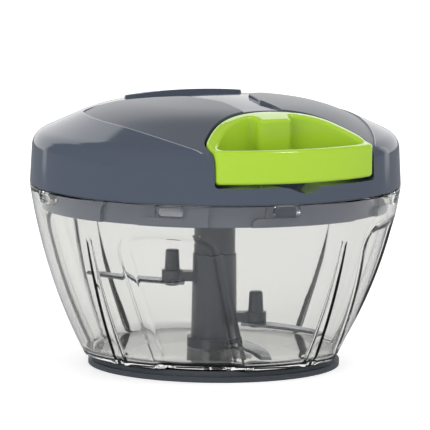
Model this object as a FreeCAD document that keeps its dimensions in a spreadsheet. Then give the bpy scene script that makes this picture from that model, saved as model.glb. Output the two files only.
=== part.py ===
import FreeCAD, Part
import math
import os
import Sketcher

from FreeCAD import Placement, Rotation, Vector

# A pull-string food chopper: a clear bowl on a non-slip ring, a blade unit on a steel pin,
# and a domed lid with a string reel inside and a loop handle docked in its front.
# The origin is the centre of the base, +Z is up, and the handle pulls out towards -Y.

os.makedirs("parts", exist_ok=True)
doc = FreeCAD.newDocument("chopper")
sheet = doc.addObject("Spreadsheet::Sheet", "sizes")

SIZES = {
    # Non-slip ring
    "ring_radius_tuck": 1.7,
    "ring_neck_radius_tuck": 2.9,
    "ring_inner_radius_tuck": 9.9,
    "ring_step": 1.9,
    "ring_height": 3.8,
    "foot_rib_radius_tuck": 6.7,
    "foot_rib_width": 1.6,
    "foot_rib_depth": 2.2,
    # Bowl
    "bowl_rim_radius": 65.0,
    "bowl_rim_height": 63.4,
    "bowl_curve_radius": 196.8,
    "bowl_curve_height": 92.9,
    "bowl_foot_round": 1.6,
    "bowl_wall": 2.0,
    "bowl_floor": 2.0,
    "bowl_floor_round": 3.0,
    "rib_angle": 17.4,
    "rib_top_rise": -14.4,
    "rib_foot_width": 7.0,
    "rib_foot_depth": 2.4,
    "rib_tip_width": 0.8,
    "rib_tip_depth": 0.3,
    "rib_root": 0.9,
    "rib_groove_width": 4.6,
    "rib_groove_depth": 1.5,
    "panel_angle": 50.4,
    "panel_foot_depth": 2.5,
    "panel_top_depth": 1.3,
    "panel_top_rise": -13.0,
    "panel_arch_radius": 60.0,
    "panel_near_top": 22.0,
    "panel_near_foot": 8.4,
    "panel_far_top": 11.8,
    "panel_far_foot": 18.4,
    "panel_corner": 6.0,
    "panel_back": 1.2,
    "lug_length": 9.0,
    "lug_height": 3.2,
    "lug_middle_rise": -2.4,
    "lug_reach_inset": 5.5,
    "lug_angle": 47.3,
    "lug_spacing": 37.0,
    "pin_radius": 2.4,
    "pin_top": 24.0,
    "pin_bottom": 1.6,
    "pin_boss_radius": 5.0,
    "pin_boss_bottom": 0.8,
    "floor_joint": 0.5,
    # Blade unit
    "shaft_radius": 7.65,
    "shaft_foot_radius": 8.1,
    "shaft_flange_radius": 9.5,
    "shaft_flange_top": 9.6,
    "shaft_top": 39.0,
    "shaft_lift": 0.4,
    "hex_width": 8.4,
    "hex_depth": 8.6,
    "arm_reach": 14.9,
    "arm_width": 5.6,
    "arm_thickness": 3.7,
    "arm_step": 0.4,
    "collar_radius": 3.7,
    "peg_radius": 2.7,
    "peg_tip_radius": 2.35,
    "peg_round": 0.7,
    "peg_height": 7.2,
    "peg_stem_radius": 1.5,
    "peg_foot": 0.8,
    "blade_thickness": 1.0,
    "blade_root_width": 9.0,
    "blade_front_radius": 66.0,
    "blade_back_radius": 110.0,
    "blade_sweep": 20.0,
    "blade_tip_width": 1.6,
    "blade_bevel": 0.6,
    "blade_seat": 4.6,
    "blade_neck": 4.0,
    "upper_blade_height": 28.2,
    "upper_blade_gap": 4.2,
    "upper_blade_angle": 149.0,
    "middle_blade_height": 14.2,
    "middle_blade_gap": 5.1,
    "middle_blade_angle": 321.0,
    "lower_blade_height": 7.4,
    "lower_blade_gap": 5.5,
    "lower_blade_angle": 291.0,
    # Lid housing
    "seam_height_rise": 0.35,
    "lid_radius_inset": 0.0,
    "lid_wall": 2.2,
    "wall_top_radius_inset": 0.7,
    "wall_top_rise": 13.9,
    "shoulder_curve": 6.5,
    "shoulder_radius_inset": 4.8,
    "shoulder_height_rise": 19.2,
    "brow_radius_inset": 17.5,
    "brow_height_rise": 25.0,
    "brow_curve": 53.0,
    "crown_radius": 30.0,
    "crown_edge_rise": 29.0,
    "crown_height_rise": 30.3,
    "petal_sink": 0.45,
    "petal_brow_curve": 58.0,
    "petal_crown_edge_rise": 29.7,
    "petal_crown_height_rise": 31.7,
    "back_petal_proud": 0.6,
    "petal_edge_radius_inset": 18.5,
    "petal_back_angle": 30.0,
    "petal_shoulder_x_inset": 17.6,
    "petal_shoulder_y": 8.0,
    "petal_front_x": 32.2,
    "petal_front_curve": 110.0,
    "petal_side_curve": 60.0,
    "petal_front_y_inset": 10.4,
    "channel_half_width": 7.5,
    "channel_waist": 18.0,
    "channel_mouth": 12.2,
    "channel_mouth_y": 1.0,
    "petal_round": 5.0,
    "back_petal_front": 20.5,
    "back_petal_radius": 34.0,
    "back_petal_round": 4.0,
    "recess_gap": 0.6,
    "recess_floor_gap": 1.1,
    "recess_floor": 2.8,
    "scoop_width": 13.0,
    "scoop_depth": 2.2,
    "scoop_reach": 12.0,
    "post_circle_inset": 15.0,
    "post_radius": 4.0,
    # Lid base
    "skirt_radius_inset": 4.1,
    "skirt_wall": 3.0,
    "skirt_bottom_rise": -7.6,
    "plate_bottom_rise": -1.0,
    "plate_top_rise": 1.0,
    "plate_radius_inset": 2.7,
    "plate_lip": 2.0,
    "plate_lip_width": 2.0,
    "groove_depth": 1.7,
    "groove_top_rise": -0.5,
    "groove_land_rise": -4.5,
    "groove_stop": 5.4,
    "groove_land_length": 16.8,
    "groove_entry": 13.6,
    "base_collar_radius": 12.4,
    "base_collar_bottom_rise": -4.8,
    "bearing_radius": 9.4,
    "bearing_flange_radius": 11.0,
    "bearing_flange": 1.0,
    # Handle
    "handle_back_radius": 37.9,
    "handle_back_centre_inset": -6.2,
    "handle_half_width": 30.4,
    "handle_front_radius_inset": 0.2,
    "handle_bottom_rise": 7.2,
    "handle_proud": 0.1,
    "handle_front_top_rise": 18.5,
    "handle_front_corner": 2.5,
    "handle_wall": 3.1,
    "handle_back_wall": 4.4,
    "handle_corner": 7.0,
    "handle_inner_corner": 3.8,
    "handle_boss_half_width": 6.5,
    "handle_boss_depth": 5.8,
    "handle_boss_corner": 2.4,
    "cavity_half_width": 3.3,
    "cavity_back": 0.9,
    "cavity_length": 3.6,
    "cavity_top_rise": 20.6,
    "string_hole_radius": 1.5,
    # Reel
    "string_height_rise": 16.6,
    "string_radius": 0.9,
    "string_turns": 3,
    "reel_radius": 17.1,
    "reel_flange_gap": 7.3,
    "reel_bottom_rise": 9.6,
    "reel_plate_top_rise": 12.6,
    "reel_top_rise": 21.8,
    "reel_flange": 1.6,
    "reel_wall": 1.4,
    "cover_radius": 20.0,
    "cover_thickness": 1.2,
    "axle_radius": 3.0,
    "axle_top_rise": 27.8,
    "axle_bottom_rise": 7.4,
    "axle_boss_radius": 6.5,
    "axle_boss_bottom_rise": 23.4,
    "clip_radius": 5.4,
    "clip_bottom_rise": 8.1,
    "clip_thickness": 0.7,
    "clip_groove_radius": 2.2,
    "clip_mouth": 3.6,
    "washer_radius": 7.0,
    "washer_thickness": 0.7,
    "spring_inner_radius": 4.2,
    "spring_turns": 7,
    "spring_thickness": 0.5,
    "spring_height": 8.4,
    "eyelet_radius": 2.3,
    "eyelet_flange_radius": 5.2,
    "eyelet_mouth_radius": 3.0,
    "eyelet_mouth_gap": 6.0,
    "lead_start": 20.4,
    "lead_end_gap": 1.9,
    "stopper_radius": 2.4,
    "stopper_length": 3.0,
    # Drive hub
    "hub_radius": 7.25,
    "hub_key": 8.0,
    "hub_cup_radius": 13.6,
    "hub_cup_inner_radius": 7.9,
    "hub_cup_bottom_rise": 3.6,
    "hub_cup_floor_rise": 5.6,
    "hub_screw_circle": 10.8,
    "hub_screw_radius": 1.1,
    "hub_screw_head_radius": 2.0,
    "hub_screw_head": 1.4,
    "hub_screw_length": 7.0,
    # Lid screws
    "screw_radius": 1.5,
    "screw_head_radius": 2.9,
    "screw_head": 1.8,
    "screw_length": 7.5,
    "screw_slot": 0.3,
    # Clearances
    "press_clearance": 0.02,
    "running_clearance": 0.06,
    "seat_gap": 0.3,
    # How far a cutting solid reaches past what it cuts
    "overcut": 1.0,
    "overrun": 10.0,
}


class Size:
    """A value and the expression it comes from: sums of sizes keep the two in step."""

    def __init__(self, value, text):
        self.value = value
        self.text = text

    def __add__(self, other):
        other = size(other)
        return Size(self.value + other.value, f"({self.text} + {other.text})")

    def __sub__(self, other):
        other = size(other)
        return Size(self.value - other.value, f"({self.text} - {other.text})")

    def __mul__(self, other):
        other = size(other)
        return Size(self.value * other.value, f"{self.text} * {other.text}")

    def __truediv__(self, other):
        other = size(other)
        return Size(self.value / other.value, f"{self.text} / ({other.text})")

    def __neg__(self):
        return Size(-self.value, f"(0 - {self.text})")

    __radd__ = __add__

    def __rsub__(self, other):
        return size(other) - self

    __rmul__ = __mul__

    def __float__(self):
        return float(self.value)


def size(item):
    """A number as a size."""
    if isinstance(item, Size):
        return item
    return Size(float(item), f"({float(item)})")


def root(item):
    return Size(math.sqrt(item.value), f"sqrt({item.text})")


def sine(item):
    return Size(math.sin(math.radians(item.value)), f"sin({item.text})")


def cosine(item):
    return Size(math.cos(math.radians(item.value)), f"cos({item.text})")


class Sheet:
    """The spreadsheet's cells as sizes."""


for row, (alias, number) in enumerate(SIZES.items(), start=1):
    sheet.set(f"A{row}", alias.replace("_", " "))
    sheet.set(f"B{row}", str(number))
    sheet.setAlias(f"B{row}", alias)
doc.recompute()
dim = Sheet()
for alias in SIZES:
    setattr(dim, alias, Size(float(sheet.get(alias)), f"sizes.{alias}"))

# A size named _rise is a height above the bowl's rim, and one named _inset a distance in from the rim's
# radius. The height or radius itself goes by the name without that ending.
for alias in SIZES:
    if alias.endswith("_rise"):
        setattr(dim, alias.removesuffix("_rise"), dim.bowl_rim_height + getattr(dim, alias))
    if alias.endswith("_inset"):
        setattr(dim, alias.removesuffix("_inset"), dim.bowl_rim_radius - getattr(dim, alias))


# Helpers for bodies, sketches and features


def body(label):
    made = doc.addObject("PartDesign::Body", label)
    made.Label = label
    return made


def plane(owner, role):
    return [item for item in owner.Origin.OriginFeatures if item.Role == role][0]


def place_sketch(owner, role, offset, turn):
    """An empty sketch on one of the body's own planes, moved along and turned about its normal."""
    sketch = owner.newObject("Sketcher::SketchObject", owner.Name + "_sketch")
    sketch.AttachmentSupport = [(plane(owner, role), "")]
    sketch.MapMode = "FlatFace"
    offset = size(offset)
    turn = size(turn)
    sketch.AttachmentOffset = Placement(Vector(0, 0, offset.value), Rotation(Vector(0, 0, 1), turn.value))
    sketch.setExpression("AttachmentOffset.Base.z", offset.text)
    sketch.setExpression("AttachmentOffset.Rotation.Angle", turn.text)
    return sketch


def bind(sketch, kind, place, value):
    index = sketch.addConstraint(Sketcher.Constraint(kind, *place, value.value))
    sketch.setExpression(f"Constraints[{index}]", value.text)


def arc_centre(start, end, radius):
    """Centre of the arc from start to end: left of the way along it where the radius is positive."""
    middle = (start + end) * 0.5
    chord = end - start
    half = chord.Length / 2
    reach = math.sqrt(max(radius * radius - half * half, 0.0))
    left = Vector(-chord.y, chord.x, 0).normalize()
    return middle + left * (reach if radius > 0 else -reach)


def draw(sketch, corners):
    """A closed outline. A corner is (x, y), or (x, y, radius) where an arc leads up to it."""
    first = sketch.GeometryCount
    count = len(corners)
    points = [Vector(float(corner[0]), float(corner[1]), 0) for corner in corners]
    for index in range(count):
        start = points[index - 1]
        end = points[index]
        if len(corners[index]) == 2:
            sketch.addGeometry(Part.LineSegment(start, end), False)
            continue
        radius = float(corners[index][2])
        centre = arc_centre(start, end, radius)
        angles = [math.atan2(p.y - centre.y, p.x - centre.x) for p in (start, end)]
        if radius < 0:
            angles.reverse()
        circle = Part.Circle(centre, Vector(0, 0, 1), abs(radius))
        sketch.addGeometry(Part.ArcOfCircle(circle, angles[0], angles[1]), False)
    for index in range(count):
        turned = len(corners[index]) == 3 and float(corners[index][2]) < 0
        here = (first + index, 1 if turned else 2)
        following = (index + 1) % count
        turned_next = len(corners[following]) == 3 and float(corners[following][2]) < 0
        there = (first + following, 2 if turned_next else 1)
        sketch.addConstraint(Sketcher.Constraint("Coincident", *here, *there))
        bind(sketch, "DistanceX", (-1, 1, *here), size(corners[index][0]))
        bind(sketch, "DistanceY", (-1, 1, *here), size(corners[index][1]))
        if len(corners[index]) == 3:
            radius = size(corners[index][2])
            if radius.value < 0:
                radius = -radius
            bind(sketch, "Radius", (first + index,), radius)


def draw_circle(sketch, x, y, radius):
    index = sketch.addGeometry(Part.Circle(Vector(float(x), float(y), 0), Vector(0, 0, 1), float(radius)), False)
    bind(sketch, "DistanceX", (-1, 1, index, 3), size(x))
    bind(sketch, "DistanceY", (-1, 1, index, 3), size(y))
    bind(sketch, "Radius", (index,), size(radius))


def revolve(owner, corners, kind="PartDesign::Revolution"):
    """A profile in (radius, height) turned about the Z axis."""
    sketch = place_sketch(owner, "XZ_Plane", 0, 0)
    draw(sketch, corners)
    feature = owner.newObject(kind, owner.Name + "_turned")
    feature.Profile = sketch
    feature.ReferenceAxis = (sketch, ["V_Axis"])
    feature.Angle = 360
    doc.recompute()
    return feature


def extrude(owner, outlines, start, end, kind="PartDesign::Pad", role="XY_Plane", turn=0):
    """Outlines on a plane at start, pushed along its normal as far as end."""
    sketch = place_sketch(owner, role, start, turn)
    for outline in outlines:
        if isinstance(outline, tuple):
            draw_circle(sketch, *outline)
        else:
            draw(sketch, outline)
    feature = owner.newObject(kind, owner.Name + "_pushed")
    feature.Profile = sketch
    length = size(end) - size(start)
    feature.Length = length.value
    feature.setExpression("Length", length.text)
    if kind == "PartDesign::Pocket":
        feature.Reversed = True
    doc.recompute()
    return feature


def around(owner, feature, count, first_angle=360):
    """Copies of a feature about the Z axis."""
    pattern = owner.newObject("PartDesign::PolarPattern", owner.Name + "_pattern")
    pattern.Originals = [feature]
    pattern.Axis = (plane(owner, "Z_Axis"), [""])
    pattern.Angle = first_angle
    pattern.Occurrences = count
    owner.Tip = pattern
    doc.recompute()
    return pattern


def edge_names(feature, wanted):
    """Names of a feature's edges whose middle point the test accepts."""
    names = []
    for index, edge in enumerate(feature.Shape.Edges, start=1):
        middle = edge.valueAt((edge.FirstParameter + edge.LastParameter) / 2)
        if wanted(edge, middle):
            names.append(f"Edge{index}")
    return names


def round_edges(owner, feature, names, radius):
    fillet = owner.newObject("PartDesign::Fillet", owner.Name + "_round")
    fillet.Base = (feature, names)
    fillet.Radius = float(radius)
    fillet.setExpression("Radius", size(radius).text)
    doc.recompute()
    return fillet


def is_upright(edge):
    ends = [vertex.Point for vertex in edge.Vertexes]
    return len(ends) == 2 and abs(ends[0].x - ends[1].x) < 0.001 and abs(ends[0].y - ends[1].y) < 0.001


def combine(kind, label, *items):
    """A boolean of whole solids: Part::Cut, Part::Common or Part::MultiFuse."""
    made = doc.addObject(kind, label)
    made.Label = label
    if kind == "Part::MultiFuse":
        made.Shapes = list(items)
    else:
        made.Base, made.Tool = items
    doc.recompute()
    return made


def turned(item, angle):
    """Turns a whole solid about the Z axis."""
    angle = size(angle)
    item.Placement = Placement(Vector(0, 0, 0), Rotation(Vector(0, 0, 1), angle.value))
    item.setExpression("Placement.Rotation.Angle", angle.text)
    doc.recompute()
    return item


def solid_feature(label, shape):
    made = doc.addObject("Part::Feature", label)
    made.Label = label
    made.Shape = shape
    return made


NODES = []


def node(item, label=None):
    """Counts an object as a sub-part under its label."""
    if label:
        item.Label = label
    NODES.append(item)
    return item


def cylinder(label, x, y, bottom, radius, top):
    """An upright cylinder between two heights."""
    made = doc.addObject("Part::Cylinder", label)
    height = size(top) - size(bottom)
    made.Radius = float(radius)
    made.Height = height.value
    made.Placement = Placement(Vector(float(x), float(y), float(bottom)), Rotation())
    made.setExpression("Radius", size(radius).text)
    made.setExpression("Height", height.text)
    made.setExpression("Placement.Base.x", size(x).text)
    made.setExpression("Placement.Base.y", size(y).text)
    made.setExpression("Placement.Base.z", size(bottom).text)
    doc.recompute()
    return made


def spot(radius, angle):
    """The point at a radius and an angle about the Z axis."""
    return radius * cosine(size(angle)), radius * sine(size(angle))


# The bowl's curve, which the ring under it and the blades in it go by

curve_foot = dim.ring_height
curve_centre = dim.bowl_rim_radius - root(
    dim.bowl_curve_radius * dim.bowl_curve_radius
    - (dim.bowl_rim_height - dim.bowl_curve_height) * (dim.bowl_rim_height - dim.bowl_curve_height)
)
floor_top = dim.ring_height + dim.bowl_floor


def bowl_radius(height, inset):
    """Radius of the bowl's curve at a height, moved in by an inset."""
    radius = dim.bowl_curve_radius - inset
    drop = height - dim.bowl_curve_height
    return curve_centre + root(radius * radius - drop * drop)


# A size named _tuck is a distance in from the bowl's foot
foot_radius = bowl_radius(curve_foot, size(0))
for alias in SIZES:
    if alias.endswith("_tuck"):
        setattr(dim, alias.removesuffix("_tuck"), foot_radius - getattr(dim, alias))


# Non-slip ring, pressed onto the rib under the bowl

rib_in = dim.foot_rib_radius - dim.foot_rib_width / 2
rib_out = dim.foot_rib_radius + dim.foot_rib_width / 2

base_ring = node(body("base_ring"))
revolve(base_ring, [
    (dim.ring_inner_radius, 0),
    (dim.ring_radius, 0),
    (dim.ring_radius, dim.ring_step),
    (dim.ring_neck_radius, dim.ring_step),
    (dim.ring_neck_radius, dim.ring_height),
    (rib_out + dim.press_clearance, dim.ring_height),
    (rib_out + dim.press_clearance, dim.ring_height - dim.foot_rib_depth),
    (rib_in - dim.press_clearance, dim.ring_height - dim.foot_rib_depth),
    (rib_in - dim.press_clearance, dim.ring_height),
    (dim.ring_inner_radius, dim.ring_height),
])

# Bowl: the outside less the four panels, hollowed by the same shape one wall further in

def bowl_solid(label, bottom, inset, foot_inset, top_inset, corner):
    """A solid under the bowl's curve, closed by a flat bottom and by the rim's height."""
    made = body(label)
    turned_profile = revolve(made, [
        (0, bottom),
        (bowl_radius(bottom, inset) - foot_inset, bottom),
        (bowl_radius(dim.bowl_rim_height, inset) - top_inset, dim.bowl_rim_height, dim.bowl_curve_radius - inset),
        (0, dim.bowl_rim_height),
    ])
    lowest = edge_names(turned_profile, lambda edge, middle: abs(edge.BoundBox.ZMax - float(bottom)) < 0.01
                        and edge.BoundBox.XLength > dim.bowl_rim_radius.value)
    round_edges(made, turned_profile, lowest, corner)
    return made


def panel(label, grow):
    """One panel's window, as a prism that points outwards along +X before it is turned."""
    made = body(label)
    top = dim.panel_top + grow
    prism = extrude(made, [[
        (-(dim.panel_near_foot + grow), 0),
        (dim.panel_far_foot + grow, 0),
        (dim.panel_far_top + grow, top),
        (-(dim.panel_near_top + grow), top, dim.panel_arch_radius),
    ]], dim.bowl_rim_radius / 3, dim.bowl_rim_radius + dim.overrun, role="YZ_Plane")
    corners = edge_names(prism, lambda edge, middle: edge.BoundBox.XLength > dim.bowl_rim_radius.value / 2
                         and abs(middle.z - top.value) < 0.5)
    round_edges(made, prism, corners, dim.panel_corner + grow)
    return made


def panels(label, grow):
    """All four windows."""
    items = []
    for turn in range(4):
        items.append(turned(panel(f"{label}_{turn}", grow), dim.panel_angle + 90 * turn))
    return combine("Part::MultiFuse", label, *items)


bowl_outside = bowl_solid("bowl_outside", curve_foot, size(0), size(0), size(0), dim.bowl_foot_round)
bowl_core = bowl_solid(
    "bowl_core", curve_foot, size(0), dim.panel_foot_depth, dim.panel_top_depth, dim.bowl_foot_round
)
bowl_inside = bowl_solid("bowl_inside", floor_top, dim.bowl_wall, size(0), size(0), dim.bowl_floor_round)
bowl_inner_core = bowl_solid(
    "bowl_inner_core", floor_top, dim.bowl_wall, dim.panel_foot_depth, dim.panel_top_depth, dim.bowl_floor_round
)
panel_cuts = combine("Part::Cut", "panel_cuts", panels("panel_windows", size(0)), bowl_core)
panel_fills = combine("Part::Cut", "panel_fills", panels("panel_backs", dim.panel_back), bowl_inner_core)
bowl_block = combine("Part::Cut", "bowl_block", bowl_outside, panel_cuts)
bowl_hollow = combine("Part::Cut", "bowl_hollow", bowl_inside, panel_fills)
bowl_shell = combine("Part::Cut", "bowl_shell", bowl_block, bowl_hollow)

bowl_foot = body("bowl_foot")
revolve(bowl_foot, [
    (rib_in, dim.ring_height - dim.foot_rib_depth),
    (rib_out, dim.ring_height - dim.foot_rib_depth),
    (rib_out, floor_top - dim.floor_joint),
    (rib_in, floor_top - dim.floor_joint),
])
pin_boss = cylinder("pin_boss", 0, 0, dim.pin_boss_bottom, dim.pin_boss_radius, floor_top - dim.floor_joint)


def rib_loft(label, triangle):
    """A pointed fold along the wall, as a loft of triangles that shrink towards its top."""
    made = body(label)
    sections = []
    for step in range(6):
        share = step / 5
        height = floor_top + (dim.rib_top - floor_top) * share - dim.floor_joint * (1 - share)
        base, apex, width = triangle(height, share)
        sketch = place_sketch(made, "XY_Plane", height, 0)
        draw(sketch, [(apex, 0), (base, -(width / 2)), (base, width / 2)])
        sections.append(sketch)
    doc.recompute()
    loft = made.newObject("PartDesign::AdditiveLoft", label + "_loft")
    loft.Profile = sections[0]
    loft.Sections = sections[1:]
    doc.recompute()
    return made


def ridge(height, share):
    """The fold's ridge inside the wall."""
    wall = bowl_radius(height, dim.bowl_wall)
    width = dim.rib_foot_width * (1 - share) + dim.rib_tip_width * share
    depth = dim.rib_foot_depth * (1 - share) + dim.rib_tip_depth * share
    return wall + dim.rib_root, wall - depth, width


def groove_in_wall(height, share):
    """The fold's groove in the outside of the wall."""
    wall = bowl_radius(height, size(0))
    slope = dim.rib_groove_depth / dim.rib_groove_width
    depth = dim.rib_groove_depth * (1 - share) + dim.rib_tip_depth * share
    width = (depth + dim.overcut) / slope
    return wall + dim.overcut, wall - depth, width


def lug(label):
    """An oval lug on the inside of the rim."""
    made = body(label)
    half = dim.lug_length / 2 - dim.lug_height / 2
    low = dim.lug_middle - dim.lug_height / 2
    high = dim.lug_middle + dim.lug_height / 2
    end = dim.lug_height / 2
    extrude(made, [[
        (-half, low, end),
        (half, low),
        (half + end, dim.lug_middle, end),
        (half, high, end),
        (-half, high),
        (-(half + end), dim.lug_middle, end),
    ]], dim.lug_reach, dim.bowl_rim_radius - dim.bowl_wall / 2, role="YZ_Plane")
    return made


extras = [bowl_foot, pin_boss]
for turn in range(4):
    extras.append(turned(rib_loft(f"bowl_rib_{turn}", ridge), dim.rib_angle + 90 * turn))
    extras.append(turned(lug(f"bowl_lug_{turn}"), dim.lug_angle + 90 * turn))
    extras.append(turned(lug(f"bowl_far_lug_{turn}"), dim.lug_angle + dim.lug_spacing + 90 * turn))
bowl_solid_all = combine("Part::MultiFuse", "bowl_with_ribs", bowl_shell, *extras)
bowl_cuts = [cylinder(
    "pin_hole", 0, 0, dim.pin_bottom, dim.pin_radius + dim.press_clearance, dim.bowl_rim_height
)]
for turn in range(4):
    bowl_cuts.append(turned(rib_loft(f"bowl_groove_{turn}", groove_in_wall), dim.rib_angle + 90 * turn))
bowl_cut = combine("Part::MultiFuse", "bowl_cuts", *bowl_cuts)
node(combine("Part::Cut", "bowl", bowl_solid_all, bowl_cut))


# Bowl pin, pressed into the boss under the floor

bowl_pin = node(body("bowl_pin"))
pin_end = dim.pin_radius / 3
revolve(bowl_pin, [
    (0, dim.pin_bottom),
    (dim.pin_radius, dim.pin_bottom),
    (dim.pin_radius, dim.pin_top - pin_end),
    (dim.pin_radius - pin_end, dim.pin_top, pin_end),
    (0, dim.pin_top),
])


# Blade unit: a hollow shaft with two arms, three blades and the pegs that hold two of them

shaft_bottom = floor_top + dim.shaft_lift
bore_radius = dim.pin_radius + dim.running_clearance
bore_top = dim.pin_top + dim.seat_gap


def hexagon(width, turn):
    """Corners of a hexagon by its width across flats."""
    reach = width / root(size(3))
    return [spot(reach, 60 * step + turn) for step in range(6)]


blade_shaft = node(body("blade_shaft"))
revolve(blade_shaft, [
    (0, shaft_bottom),
    (dim.shaft_flange_radius, shaft_bottom),
    (dim.shaft_flange_radius, dim.shaft_flange_top),
    (dim.shaft_foot_radius, dim.shaft_flange_top),
    (dim.shaft_radius, dim.shaft_top),
    (0, dim.shaft_top),
])
for blade_top, angle in (
    (dim.upper_blade_height + dim.blade_thickness, dim.upper_blade_angle),
    (dim.middle_blade_height + dim.blade_thickness, dim.middle_blade_angle),
):
    arm_top = blade_top + dim.arm_thickness
    extrude(blade_shaft, [[
        (0, -(dim.arm_width / 2)),
        (dim.arm_reach, -(dim.arm_width / 2)),
        (dim.arm_reach, dim.arm_width / 2),
        (0, dim.arm_width / 2),
    ]], blade_top, arm_top - dim.arm_step, turn=angle)
    extrude(blade_shaft, [(dim.arm_reach, size(0), dim.collar_radius)], blade_top, arm_top, turn=angle)
    extrude(
        blade_shaft, [(dim.arm_reach, size(0), dim.peg_stem_radius + dim.press_clearance)],
        blade_top - dim.overcut, arm_top + dim.overcut, kind="PartDesign::Pocket", turn=angle,
    )
extrude(blade_shaft, [hexagon(dim.hex_width, 0)], dim.shaft_top - dim.hex_depth, dim.shaft_top + dim.overcut,
        kind="PartDesign::Pocket")
extrude(blade_shaft, [(size(0), size(0), bore_radius)], shaft_bottom - dim.overcut, bore_top, kind="PartDesign::Pocket")
slot_half = dim.blade_root_width / 2 + dim.press_clearance
extrude(
    blade_shaft, [[
        (dim.blade_seat - dim.press_clearance, -slot_half),
        (dim.shaft_flange_radius + dim.overrun, -slot_half),
        (dim.shaft_flange_radius + dim.overrun, slot_half),
        (dim.blade_seat - dim.press_clearance, slot_half),
    ]],
    dim.lower_blade_height - dim.press_clearance,
    dim.lower_blade_height + dim.blade_thickness + dim.press_clearance,
    kind="PartDesign::Pocket", turn=dim.lower_blade_angle,
)


def blade(label, height, reach, angle, start, hole):
    """A sickle-shaped blade whose root lies along +X and whose tip trails, before it is turned."""
    made = body(label)
    half = dim.blade_root_width / 2
    tip_x, tip_y = spot(reach, -dim.blade_sweep)
    neck = dim.shaft_flange_radius + dim.blade_neck
    plate = extrude(made, [[
        (start, -half),
        (neck, -half),
        (tip_x - dim.blade_tip_width * 2, tip_y - dim.blade_tip_width, -dim.blade_back_radius),
        (tip_x, tip_y),
        (neck, half, dim.blade_front_radius),
        (start, half),
    ]], size(0), dim.blade_thickness)
    if hole:
        plate = extrude(made, [(dim.arm_reach, size(0), dim.peg_stem_radius + dim.press_clearance)],
                        -dim.overcut, dim.blade_thickness + dim.overcut, kind="PartDesign::Pocket")
    radius = dim.blade_front_radius.value
    names = edge_names(plate, lambda edge, middle: hasattr(edge.Curve, "Radius")
                       and abs(edge.Curve.Radius - radius) < 0.01
                       and middle.z > dim.blade_thickness.value / 2)
    edge = made.newObject("PartDesign::Chamfer", label + "_edge")
    edge.Base = (plate, names)
    edge.Size = dim.blade_bevel.value
    edge.setExpression("Size", dim.blade_bevel.text)
    doc.recompute()
    turned(made, angle)
    made.Placement = Placement(Vector(0, 0, height.value), made.Placement.Rotation)
    made.setExpression("Placement.Base.z", height.text)
    doc.recompute()
    return made


tail = dim.arm_reach - dim.blade_root_width / 2
for label, height, gap, angle, start, hole in (
    ("upper_blade", dim.upper_blade_height, dim.upper_blade_gap, dim.upper_blade_angle, tail, True),
    ("middle_blade", dim.middle_blade_height, dim.middle_blade_gap, dim.middle_blade_angle, tail, True),
    ("lower_blade", dim.lower_blade_height, dim.lower_blade_gap, dim.lower_blade_angle, dim.blade_seat, False),
):
    node(blade(label, height, bowl_radius(height, dim.bowl_wall) - gap, angle, start, hole))


def peg(label, height, angle):
    """A tapered peg: foot under the blade, stem through blade and arm, head above the arm."""
    made = body(label)
    arm_top = dim.blade_thickness + dim.arm_thickness
    top = arm_top + dim.peg_height
    revolve(made, [
        (0, -dim.peg_foot),
        (dim.peg_radius - dim.peg_foot, -dim.peg_foot),
        (dim.peg_radius, 0, dim.peg_foot),
        (dim.peg_stem_radius, 0),
        (dim.peg_stem_radius, arm_top),
        (dim.peg_radius, arm_top),
        (dim.peg_tip_radius, top - dim.peg_round),
        (dim.peg_tip_radius - dim.peg_round, top, dim.peg_round),
        (0, top),
    ])
    x, y = spot(dim.arm_reach, angle)
    made.Placement = Placement(Vector(x.value, y.value, height.value), Rotation())
    made.setExpression("Placement.Base.x", x.text)
    made.setExpression("Placement.Base.y", y.text)
    made.setExpression("Placement.Base.z", height.text)
    return made


def group(label, items):
    """Identical pieces as one sub-part."""
    made = doc.addObject("Part::Compound", label)
    made.Links = items
    doc.recompute()
    return made


node(group("blade_pegs", [
    peg("upper_peg", dim.upper_blade_height, dim.upper_blade_angle),
    peg("middle_peg", dim.middle_blade_height, dim.middle_blade_angle),
]))


# Lid housing: a glossy dome with three raised petals, a recess for the handle and four screw posts

def dome(label, drop, crown, crown_edge, curve, inset):
    """The dome's solid: its crown from given heights, the rest lowered by drop and moved in by inset."""
    made = body(label)
    crown_sag = crown - crown_edge
    crown_curve = (dim.crown_radius * dim.crown_radius + crown_sag * crown_sag) / (crown_sag * 2)
    revolve(made, [
        (0, dim.seam_height),
        (dim.lid_radius - inset, dim.seam_height),
        (dim.wall_top_radius - inset, dim.wall_top - drop),
        (dim.shoulder_radius - inset / 2, dim.shoulder_height - drop, dim.shoulder_curve),
        (dim.brow_radius - inset / 3, dim.brow_height - drop),
        (dim.crown_radius, crown_edge, curve),
        (0, crown, crown_curve),
    ])
    return made


def petal(label, corners, rounds, radius):
    """An upright prism with the outline of one petal and its corners rounded."""
    made = body(label)
    prism = extrude(made, [corners], dim.seam_height, dim.petal_crown_height + dim.overrun)
    names = edge_names(prism, lambda edge, middle: is_upright(edge) and any(
        math.hypot(middle.x - float(x), middle.y - float(y)) < 0.01 for x, y in rounds
    ))
    round_edges(made, prism, names, radius)
    return made


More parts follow.
